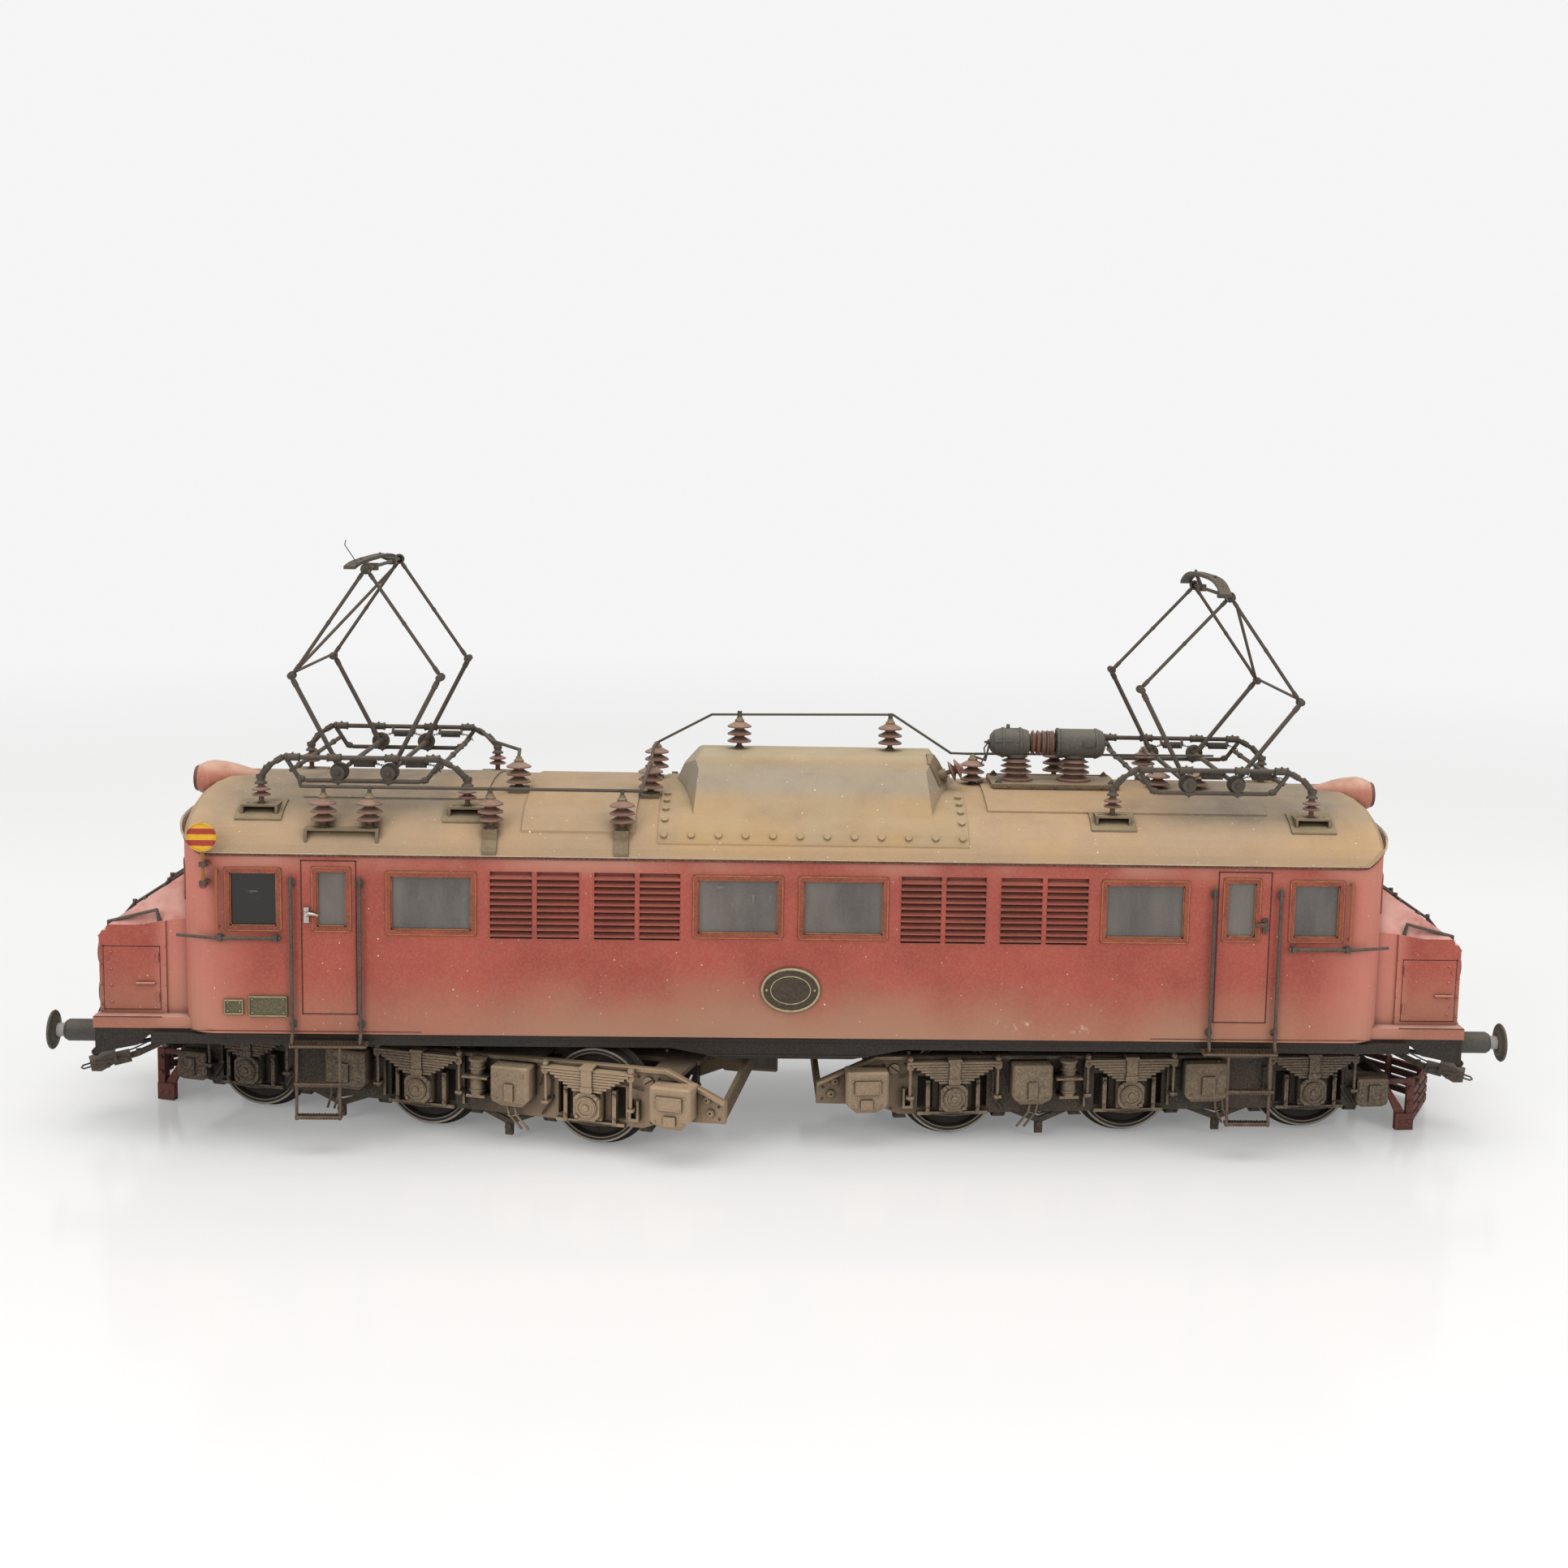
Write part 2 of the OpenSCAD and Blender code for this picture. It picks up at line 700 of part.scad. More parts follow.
module insulators() {
    color([0.52, 0.33, 0.29]) {
        for (m = [left_pantograph, right_pantograph], f = pantograph_feet)
            translate([m + f[0], f[1], pantograph_foot_head]) insulator(2, pantograph_shed, 1.7);
        for (p = line_insulators)
            translate([p[0], p[1], p[2]]) insulator(3, line_shed, p[3]);
        for (p = short_insulators)
            translate([p[0], p[1], p[2]]) insulator(2, line_shed, p[3]);
        translate(lead_insulator) rotate([0, lead_lean, 0]) insulator(2, 2.6, 1);
        for (x = breaker_posts)
            translate([x, 0, 89.3]) rotate_extrude() polygon([
                [0, 0], [4.4, 0], [4.4, 0.5], [2.6, 1.2], [2.6, 1.8], [4.2, 2.1], [2.6, 2.9], [2.6, 3.3],
                [4.1, 3.6], [2.6, 4.3], [2.4, 4.7], [3.8, 5], [2.2, 5.7], [2, 5.9], [0, 5.9]
            ]);
    }
}

module insulator_feet() {
    color([0.34, 0.31, 0.28]) difference() {
        union() {
            for (m = [left_pantograph, right_pantograph], f = pantograph_feet)
                translate([m + f[0], f[1], 0]) {
                    difference() {
                        block([-4.4, -2.6, 78], [4.4, 2.6, pantograph_foot_head]);
                        block([-3.8, -4, 70], [3.8, 4, pantograph_foot_head - 0.5]);
                    }
                    intersection() {
                        block([-5.6, -4, 70], [5.6, 4, 95]);
                        translate([0, -f[1], 0]) under_roof(0.4, 20);
                    }
                }
            difference() {
                block([-118, -34.6, 74], [-100.2, -28.6, 80.6]);
                block([-117.3, -36, 74], [-100.9, -28, 80]);
            }
            for (i = [2, 3]) let (x = line_insulators[i][0]) {
                block([x - 1.7, -34.3, 75], [x + 1.7, -31, 80.9]);
                intersection() {
                    under_roof(0.5, 100);
                    block([x - 1.7, -36, 74.8], [x + 1.7, -33, 80]);
                }
            }
            block([-71.4, -16, 82], [-66.6, -11.2, 87.9]);
            block([-38, -18.4, 82], [-33.5, -13, 87.2]);
            for (i = [6, 10, 11]) let (p = line_insulators[i])
                block([p[0] - 1.8, p[1] - 1.8, 84], [p[0] + 1.8, p[1] + 1.8, p[2]]);
            for (p = short_insulators) translate([p[0], p[1], 85]) cylinder(h = p[2] - 85, r = 1.4);
            translate(lead_insulator) rotate([0, lead_lean, 0]) translate([0, 0, -5])
                cylinder(h = 5, r = 1.3);
            intersection() {
                hood_form(-0.4);
                block([34.6, -12.6, 89.5], [45, -5, 100]);
            }
        }
        hood_form(0);
        under_roof();
        roof_panel_space();
    }
}

// Room that the raised roof panels take from the feet that stand on them
module roof_panel_space() {
    intersection() {
        under_roof(0.45);
        union() {
            block([-66, -32.4, 60], [-38.5, 32.4, 95]);
            block([-121, -20.8, 60], [-76.5, 20.8, 95]);
            block([49, -23.8, 60], [119.5, 23.8, 95]);
        }
    }
}

module busbars() {
    bus_y = -31.8;
    bus_height = 90.4;
    color([0.36, 0.32, 0.28]) {
        bent_rod([[-119.6, bus_y, 92.2], [-119.2, bus_y, bus_height], [-37, bus_y, bus_height],
                  [-35.7, -17.4, line_top(5) + 0.5], [-35.7, -15.4, line_top(5) + 0.5]], 0.45);
        for (i = [0:3]) let (p = line_insulators[i]) {
            rod([p[0], p[1], line_top(i)], [p[0], p[1], bus_height], 0.5);
            rod([p[0], p[1], bus_height], [p[0], bus_y, bus_height], 0.45);
        }
        bent_rod([[-35.7, -15.8, line_top(5) + 0.5], [-35.5, -6, 97.6],
                  [-35.3, 3.4, line_top(6) + 0.5]], 0.4);
        bent_rod([[-35.5, 3, line_top(6) + 0.5], [-21, 0, 105.2], [26, 0, 105.9], [41.4, 0, 96],
                  [46, 2, 95.6], [54, 6.5, 95], [112, 6.5, 95.3]], 0.32);
        for (i = [7, 8]) let (x = line_insulators[i][0]) rod([x, 0, line_top(i)], [x, 0, 106.2], 0.6);
        bent_rod([[-69, -14, line_top(4) + 0.55], [-69.4, -9, 96.6], [-80, 14, 95.4],
                  [-84.2, 26.5, 96.05]], 0.45);
        bent_rod([[47.6, 0, line_top(9) + 0.36], [50.4, -1, 94.4], [51.2, -1.6, 98.6]], 0.28);
        for (i = [10, 11]) let (p = line_insulators[i])
            rod([p[0], p[1], line_top(i) + 0.45], [p[0], 6.5, 95.2], 0.4);
    }
}

// Breaker: two round-nosed housings joined by a ribbed tube, on a base plate
module breaker() {
    color([0.42, 0.42, 0.4]) {
        difference() {
            union() {
                block([51.6, -8, 86.6], [84.6, 8, 89.3]);
                for (x = [53.4, 82.8], y = [-6.4, 6.4]) translate([x, y, 89]) cylinder(h = 0.9, r = 0.9);
            }
            under_roof(0.45);
        }
        translate([0, 0, breaker_axis]) rotate([0, 90, 0]) rotate_extrude() polygon([
            [0, 51.4], [2, 51.6], [3.2, 52.6], [3.8, 54.6], [3.8, 59.6], [3.2, 61.6], [2, 61.9],
            [2, 62.3], [2.9, 62.5], [2.9, 63], [2, 63.2], [2, 63.8], [3, 64], [3, 64.5], [2, 64.7],
            [2, 65.3], [3.1, 65.5], [3.1, 66], [2, 66.2], [2, 66.8], [3.1, 67], [3.1, 67.5], [2, 67.7],
            [2, 68.6], [3.5, 68.9], [3.8, 70], [3.8, 79.8], [3.2, 81.1], [1.6, 81.7], [0, 81.8]
        ]);
        for (x = breaker_posts) translate([x, 0, 95.2]) cylinder(h = 2.6, r = 2.2);
    }
}

// Tubular frame that carries one pantograph on its four insulators
module pantograph_frame(middle) {
    top = 96.8;
    low = 91.1;
    translate([middle, 0, 0]) {
        both_sides() {
            bent_rod([
                [-25, -insulator_side, 91.2], [-23.6, -rail_side, 94.2], [-18.6, -rail_side, 97.2],
                [-16, -rail_side, top], [16, -rail_side, top], [18.8, -rail_side, 96.6],
                [23.4, -rail_side, 94], [25.2, -insulator_side, 91.2]
            ], 0.62);
            bent_rod([
                [-18.8, -rail_side, 96.8], [-15.4, -rail_side, low + 0.3], [-13.6, -rail_side, low],
                [13.4, -rail_side, low], [15.4, -rail_side, low + 0.4], [19, -rail_side, 96.4]
            ], 0.55);
            for (x = [-drum_gap, drum_gap]) {
                difference() {
                    union() {
                        cross_cylinder([x, drum_height], 1.3, -rail_side - 0.5, -rail_side + 0.5);
                        block([x - 0.6, -rail_side - 0.5, low], [x + 0.6, -rail_side + 0.5, drum_height]);
                    }
                    cross_cylinder([x, drum_height], shaft_radius + running_clearance,
                                   -rail_side - 1, -rail_side + 1);
                }
            }
            for (x = [-17, -7, 7, 17]) long_cylinder([-rail_side, top], 0.9, x - 1.6, x + 1.6);
            for (x = [-25, 25.2]) translate([x, -insulator_side, 90]) cylinder(h = 1.4, r = 0.9);
            for (x = [-3, 9.6]) {
                long_cylinder([-25.7, 95.2], 0.7, x + 0.6, x + 5.2);
                for (end = [x, x + 5.8]) rod([end, -25.7, 95.2], [end, -rail_side, top], 0.35);
                rod([x, -25.7, 95.2], [x + 5.8, -25.7, 95.2], 0.3);
            }
        }
        for (x = [-17.4, 17.4]) rod([x, -rail_side, 93.6], [x, rail_side, 93.6], 0.55);
    }
}

module pantograph_frames() {
    color([0.36, 0.33, 0.3]) {
        pantograph_frame(left_pantograph);
        pantograph_frame(right_pantograph);
    }
}

// Linkage points in X and Z about a pantograph's middle; side is -1 west, 1 east
function knee(side, lifts) =
    let (lift = side < 0 ? lifts[0] : lifts[1])
    [side * (drum_gap + lower_arm * cos(lift)), drum_height + lower_arm * sin(lift)];
function top_pin(lifts) =
    let (
        west = knee(-1, lifts),
        east = knee(1, lifts),
        half = norm(east - west) / 2,
        across = (east - west) / (2 * half)
    )
    (west + east) / 2 + sqrt(upper_arm * upper_arm - half * half) * [-across[1], across[0]];
function at_plane(point, y) = [point[0], y, point[1]];
function plane_of(middle, side) = side * middle > 0 ? outer_plane : inner_plane;

// A lower arm: shaft in the frame's bearings, two drums, two tubes and their knee pins
module pantograph_lower(middle, side, lifts) {
    pivot = [side * drum_gap, drum_height];
    bend = knee(side, lifts);
    plane = plane_of(middle, side);
    color([0.38, 0.35, 0.31]) translate([middle, 0, 0]) {
        cross_cylinder(pivot, shaft_radius, -rail_side - 1, rail_side + 1);
        both_sides() {
            cross_cylinder(pivot, 2.1, -26.4, -24.6);
            cross_cylinder(pivot, 1, -24.6, -23.3);
            rod(at_plane(pivot, -arm_plane), at_plane(bend, -arm_plane), 0.58);
            cross_cylinder(bend, knob_radius, -arm_plane - 0.6, -arm_plane + 0.6);
            cross_cylinder(bend, pin_radius, -arm_plane, -plane + 0.5);
        }
    }
}

// An upper arm: two thin tubes between eyes at the knees and eyes at the top. The arm
// on the locomotive's outer side also has a cross rod at its knees and a diagonal.
module pantograph_upper(middle, side, lifts, lean) {
    bend = knee(side, lifts);
    peak = top_pin(lifts);
    plane = plane_of(middle, side);
    outer = side * middle > 0;
    top_hole = outer ? eye_hole : open_eye_hole;
    eye_wall = outer ? 0.5 : 0.34;
    color([0.38, 0.35, 0.31]) translate([middle, 0, 0]) {
        difference() {
            both_sides() {
                rod(at_plane(bend, -plane), at_plane(peak, -plane), 0.44);
                cross_cylinder(bend, knob_radius + 0.15, -plane - 0.5, -plane + 0.5);
                cross_cylinder(peak, top_hole + eye_wall, -plane - 0.5, -plane + 0.5);
            }
            both_sides() {
                cross_cylinder(bend, eye_hole, -plane - 1, -plane + 1);
                cross_cylinder(peak, top_hole, -plane - 1, -plane + 1);
            }
        }
        if (outer) {
            foot = bend + link_start * (peak - bend);
            head = bend + link_end * (peak - bend);
            rod(at_plane(foot, -plane), at_plane(foot, plane), 0.36);
            rod(at_plane(foot, -lean * plane), at_plane(head, lean * plane), 0.4);
        }
    }
}

// Collector: a shaft through the top eyes, two struts and an arched strip; stray adds
// the bent whisker of wire that stands up from its near end
module collector(middle, lifts, rise, drift, reach, droop, stray) {
    peak = top_pin(lifts);
    strip = peak + [drift, rise];
    color([0.42, 0.38, 0.33]) translate([middle, 0, 0]) {
        cross_cylinder(peak, pin_radius, -outer_plane - 1.2, outer_plane + 1.2);
        both_sides() {
            cross_cylinder(peak, knob_radius, -outer_plane - 1.8, -outer_plane - 0.8);
            rod(at_plane(peak, -strut_side), at_plane(strip + [0, 0.3], -strut_side), 0.5);
            block([peak[0] - 1, -strut_side - 1, peak[1] - 0.9],
                  [peak[0] + 1, -strut_side + 1, peak[1] + 0.9]);
        }
        if (stray) bent_rod([[-1.6, -22, 143.4], [-5, -22, 148.5], [-4.7, -22, 149.7]], 0.12);
        translate([strip[0], 0, strip[1]])
            end_prism(concat(
                [for (a = [-10:10]) [a / 10 * reach, -droop * pow(a / 10, 4)]],
                [for (a = [10:-1:-10]) [a / 10 * reach, 0.8 - droop * pow(a / 10, 4)]]
            ), -1.4, 1.4);
    }
}

module underframe() {
    color([0.18, 0.16, 0.15]) {
        difference() {
            union() {
                translate([0, 0, deck_foot]) linear_extrude(deck_thickness) polygon(plan(0.9));
                both_ends() block([140, -31, deck_foot], [beam_back, 31, wall_foot]);
                both_sides() side_prism([
                    [-156, deck_foot + 0.5], [156, deck_foot + 0.5], [156, sole_foot], [29, sole_foot],
                    [16, 23.8], [-16, 23.8], [-29, sole_foot], [-156, sole_foot]
                ], -33.6, -31.9);
                both_ends() both_sides() side_prism([
                    [153.5, wall_foot - 0.5], [153.5, 28.6], [157.2, 27.6], [160, 25.1], [beam_back, 23.2],
                    [beam_back, wall_foot - 0.5]
                ], -31, -29.8);
                both_ends() {
                    block([bogie_pivot - 5, -9.5, 24], [bogie_pivot + 5, 9.5, deck_foot + 0.5]);
                    translate([bogie_pivot, 0, spine_head + 0.1]) cylinder(h = 3, r = 4.6);
                    translate([bogie_pivot, 0, spine_foot - 0.9]) cylinder(h = 4, r = king_pin_radius);
                    translate([bogie_pivot, 0, spine_foot - 1.5]) cylinder(h = 1.2, r = 3);
                    block([coupler_pivot - 3, -4, 21.3], [coupler_pivot + 3, 4, deck_foot + 0.5]);
                    translate([coupler_pivot, 0, 18.2]) cylinder(h = 4, r = 1);
                    translate([coupler_pivot, 0, 17.8]) cylinder(h = 0.8, r = 1.8);
                }
            }
            for (x = [-40, 0, 40]) translate([x, 0, 20]) cylinder(h = 20, r = 1.1);
        }
    }
}

module buffer_beams() {
    color([0.2, 0.17, 0.16]) both_ends() {
        difference() {
            block([beam_back, -30.8, 22.8], [nose_front - 0.2, 30.8, wall_foot]);
            both_sides() long_cylinder([-buffer_side, buffer_height], 1.2, 160, 180);
        }
        both_sides()
            side_prism([[beam_back, 25], [beam_back, 22.8], [beam_back - 3.4, 23.4]], -29.6, -28.8);
    }
}

// Buffer stock: a flanged tube that the plunger slides in
module buffer_stock() {
    back = nose_front - 0.2;
    bore = shank_radius + running_clearance;
    translate([0, -buffer_side, buffer_height]) rotate([0, 90, 0]) rotate_extrude() polygon([
        [0, back], [3.9, back], [3.9, back + 0.8], [stock_radius, back + 0.8],
        [stock_radius, stock_mouth - 0.8],
        [2.3, stock_mouth], [bore, stock_mouth], [bore, back + 1.6], [0, back + 1.6]
    ]);
}

module buffer_stocks() {
    color([0.3, 0.29, 0.28]) both_ends() both_sides() buffer_stock();
}

module buffer_springs() {
    color([0.6, 0.6, 0.6]) both_ends() both_sides()
        translate([0, -buffer_side, buffer_height]) rotate([0, 90, 0]) rotate_extrude()
            polygon([[1, nose_front + 1.4], [1.5, nose_front + 1.4], [1.5, plunger_back], [1, plunger_back]]);
}

module buffer_plunger(end, side) {
    color([0.35, 0.34, 0.33]) mirror([end < 0 ? 1 : 0, 0, 0])
        translate([0, side * buffer_side, buffer_height]) rotate([0, 90, 0]) rotate_extrude() polygon([
            [0, plunger_back], [shank_radius, plunger_back], [shank_radius, buffer_face - 1.6],
            [3.6, buffer_face - 1.1], [4.8, buffer_face - 0.8], [4.8, buffer_face - 0.3],
            [3, buffer_face], [0, buffer_face]
        ]);
}

// Coupler: an eye on its pivot, a cranked shank and a stepped head
module coupler(end) {
    color([0.36, 0.33, 0.3]) mirror([end < 0 ? 1 : 0, 0, 0])
        translate([coupler_pivot, 0, 0]) rotate([0, 0, -coupler_swing]) {
            difference() {
                union() {
                    translate([0, 0, 18.9]) cylinder(h = 1.9, r = 2.5);
                    block([0, -1, 19], [7, 1, 20.1]);
                }
                translate([0, 0, 15]) cylinder(h = 10, r = 1 + running_clearance);
            }
            side_prism([[6, 19], [6, 20.1], [17.6, 15.8], [22, 14.8], [22, 13.7], [17.2, 14.6]], -0.8, 0.8);
            side_prism([[18.7, 13.7], [19.2, 16.2], [23.4, 15.6], [23, 13]], -1.6, 1.6);
            side_prism([[22.2, 14.2], [22.8, 17], [29, 15], [28.6, 12.4], [26.2, 12.1]], -2.4, 2.4);
        }
}

// Steps under each cab door: three treads between wire stringers
module ladder() {
    treads_out = -39.4;
    for (x = [104.5, 121]) rod([x, -36.3, 30.4], [x, -37.6, 27.2], 0.42);
    block([102.8, -38.4, 26.9], [121.5, -35.3, 27.5]);
    for (x = [109.2, 119.6]) rod([x, -38.2, 27.2], [x, treads_out + 0.3, 9.6], 0.38);
    for (z = [17.5, 9.3]) block([108.8, treads_out, z], [120, -37.45, z + 0.6]);
    block([103.2, -35.4, 26.9], [121.2, -33.6, 27.5]);
}

module steps() {
    color([0.32, 0.28, 0.24]) both_ends() both_sides() ladder();
}

module brake_hoses() {
    face = nose_front + 1.3;
    color([0.15, 0.14, 0.14]) both_ends() both_sides()
        bent_rod([
            [face, -12.6, 29.6], [face + 2.2, -12.6, 30.4], [face + 3.2, -12.6, 28], [face + 2, -12.6, 22.5],
            [face + 3.2, -12.8, 19.4], [face + 5, -13, 17.2]
        ], 0.6);
}

module signal_disc() {
    color([0.8, 0.55, 0.15]) {
        cross_cylinder([-141.5, 78.8], 3.5, -38.3, -37.7);
        rod([-141.5, -37.4, 66.9], [-141.5, -37.4, 78.8], disc_mast);
        cross_cylinder([-141.5, 78.8], 0.8, -37.8, -36.9);
    }
}

// Places children in a bogie's own frame; end is -1 left, 1 right
module on_bogie(end) {
    translate([end * bogie_pivot, 0, 0])
        rotate([0, 0, end < 0 ? left_yaw : right_yaw])
            mirror([end < 0 ? 1 : 0, 0, 0]) children();
}

// Involute gear outline with its first tooth pointing along +X
function involute(base, t) = base * [cos(t) + t * PI / 180 * sin(t), sin(t) - t * PI / 180 * cos(t)];
function gear_outline(teeth) =
    let (
        pitch = tooth_module * teeth / 2,
        base = pitch * cos(20),
        tip = pitch + tooth_module * 0.85,
        root = pitch - tooth_module * 1.15,
        play = 0.86,
        lean = (tan(20) - 20 * PI / 180) * 180 / PI,
        half = 90 / teeth * play + lean,
        flank = [for (i = [0:3])
            let (r = max(base, root) + (tip - max(base, root)) * i / 3,
                 t = sqrt(pow(r / base, 2) - 1) * 180 / PI,
                 p = involute(base, t))
            [norm(p), half - atan2(p[1], p[0])]],
        tooth = concat([[root, half]], flank)
    )
    [for (k = [0:teeth - 1], p = concat([for (q = tooth) [q[0], -q[1]]],
                                        [for (i = [len(tooth) - 1:-1:0]) tooth[i]]))
        p[0] * [cos(p[1] + k * 360 / teeth), sin(p[1] + k * 360 / teeth)]];

module wheel() {
    w = wheel_back;
    rotate([-90, 0, 0]) rotate_extrude() polygon([
        [0, w], [3.2, w], [3.2, w + 1.2], [10.2, w + 1.2], [10.4, w], [flange_radius - 0.3, w],
        [flange_radius, w + 0.3], [flange_radius, w + 0.8], [tread_radius + 0.1, w + 1.5],
        [tread_radius - 0.1, w + wheel_width], [10.6, w + wheel_width], [10.3, w + 3],
        [3.4, w + 2.8], [3.2, w + wheel_width + 0.3], [0, w + wheel_width + 0.3]
    ]);
}

module wheelset(end, index) {
    color([0.34, 0.3, 0.27]) on_bogie(end) translate([axles[index], 0, axle_height]) {
        both_sides() wheel();
        cross_cylinder([0, 0], axle_radius, -plate_inside + 0.5, plate_inside - 0.5);
        cross_cylinder([0, 0], journal_radius, -23.6, 23.6);
        if (index == 1)
            translate([0, 12.9, 0]) rotate([90, 0, 0]) linear_extrude(2.4) polygon(gear_outline(wheel_teeth));
    }
}

bogie_plate_outline = [
    [-81, 10.6], [-81, 16.2], [-66, 22.8], [50, 21.5], [58, 17], [68.5, 15.5], [68.5, 9.5], [60, 7.4],
    [-60, 7.4], [-66, 10]
];

module bogie_frame(end) {
    color([0.3, 0.27, 0.24]) on_bogie(end) {
        difference() {
            both_sides() side_prism(bogie_plate_outline, -plate_outside, -plate_inside);
            for (u = axles) {
                block([u - 3.6, -30, 0], [u + 3.6, 30, 17.3]);
                for (s = [-1, 1]) block([u + s * 7 - 1.9, -30, 9], [u + s * 7 + 1.9, 30, 17.3]);
            }
        }
        difference() {
            union() {
                block([-70, -9.4, spine_foot], [60, 9.4, spine_head]);
                for (u = [[-31, -15], [14, 33], [-69, -61]])
                    block([u[0], -plate_inside, spine_foot], [u[1], plate_inside, spine_head]);
                block([61.2, -plate_inside, 14.2], [63.6, plate_inside, 15.4]);
                block([57.6, -9.4, 14.2], [60, 9.4, spine_head - 4]);
                block([66.9, -plate_inside, 9.8], [68.5, plate_inside, 15.4]);
                block([60, -9.4, 14.2], [68, 9.4, 15.4]);
                end_prism([
                    [-plate_inside, 11.4], [-plate_inside, 15.8], [0, 22.4], [plate_inside, 15.8],
                    [plate_inside, 11.4], [0, 18]
                ], -81, -79.8);
                block([-79.8, -2, 19.6], [-68, 2, 21.4]);
            }
            translate([0, 0, 10]) cylinder(h = 20, r = king_pin_radius + running_clearance);
            block([58.8, -30, spine_foot - 5], [64, 30, 30]);
        }
        block([57.6, -9.4, 15.4], [58.8, 9.4, spine_foot]);
    }
}

// Stack of spring leaves with a buckle, and a hanger at each end
spring_leaves = 8;
leaf_pitch = 0.72;
module leaf_spring() {
    for (i = [0:spring_leaves - 1])
        block([-12 + i * 1.15, -25.8, 21.3 - i * leaf_pitch], [12 - i * 1.15, -23.9, 21.88 - i * leaf_pitch]);
    block([-1.4, -26.2, 16], [1.4, -23.5, 22.4]);
    for (s = [-1, 1]) {
        rod([s * 11.2, -24.9, 22.6], [s * 11.2, -24.9, 12.4], 0.4);
        translate([s * 11.2, -24.9, 22]) cylinder(h = 0.9, r = 0.8);
        block([s * 11.2 - 0.9, -25.6, 12.2], [s * 11.2 + 0.9, -plate_outside, 12.9]);
    }
}

// Corners of a rectangle in U and Z with its lower and upper corners cut off
function cut_corners(low, high, lower, upper) = [
    [low[0] + lower, low[1]], [high[0] - lower, low[1]], [high[0], low[1] + lower],
    [high[0], high[1] - upper], [high[0] - upper, high[1]], [low[0] + upper, high[1]],
    [low[0], high[1] - upper], [low[0], low[1] + lower]
];

// Axlebox with a round lid, between two horn bars that a tie joins under it
module axlebox() {
    difference() {
        union() {
            block([-3.5, -24.6, 8.9], [3.5, -plate_inside, 16]);
            side_prism(cut_corners([-3.4, 9.1], [3.4, 15.9], 1.3, 1.3), -26, -24.6);
            cross_cylinder([0, 12.5], 2.7, -26.5, -25.9);
            cross_cylinder([0, 12.5], 0.8, -26.8, -26.4);
            for (s = [-1, 1]) cross_cylinder([s * 2.5, 12.5 - s * 2.5], 0.5, -26.4, -25.9);
        }
        cross_cylinder([0, axle_height], journal_radius + running_clearance, -24, 0);
    }
    for (s = [-1, 1]) block([s * 6.4 - 0.5, -23.8, 8], [s * 6.4 + 0.5, -plate_outside, 16.6]);
    block([-9, -23.6, 7.5], [9, -plate_outside, 8.3]);
}

// A casting on the side plate that stands out to reach, with a raised rib on its face;
// low and high are in U and Z
module casting(low, high, reach, cut, rib) {
    intersection() {
        side_prism(cut_corners(low, high, cut * 1.5, 0.4), -reach, -plate_outside);
        end_prism([
            [-plate_outside, low[1]], [-reach + cut, low[1]], [-reach, low[1] + cut],
            [-reach, high[1] - 0.5], [-reach + 0.5, high[1]], [-plate_outside, high[1]]
        ], low[0] - 1, high[0] + 1);
        linear_extrude(40) polygon([
            [low[0], -plate_outside], [low[0], -reach + 0.5], [low[0] + 0.5, -reach],
            [high[0] - 0.5, -reach], [high[0], -reach + 0.5], [high[0], -plate_outside]
        ]);
    }
    block([rib[0], -reach - 0.5, rib[1]], [rib[2], -reach + 0.2, rib[3]]);
}

// A pair of thin sand pipes that lead down from a casting towards the rail
module sand_pipes(top, lean) {
    for (shift = [0, 1.9])
        bent_rod([[top + shift, -24.6, 12.4], [top + shift + lean * 0.6, -24.2, 8],
                  [top + shift + lean * 3, -22, 3.6]], 0.32);
}

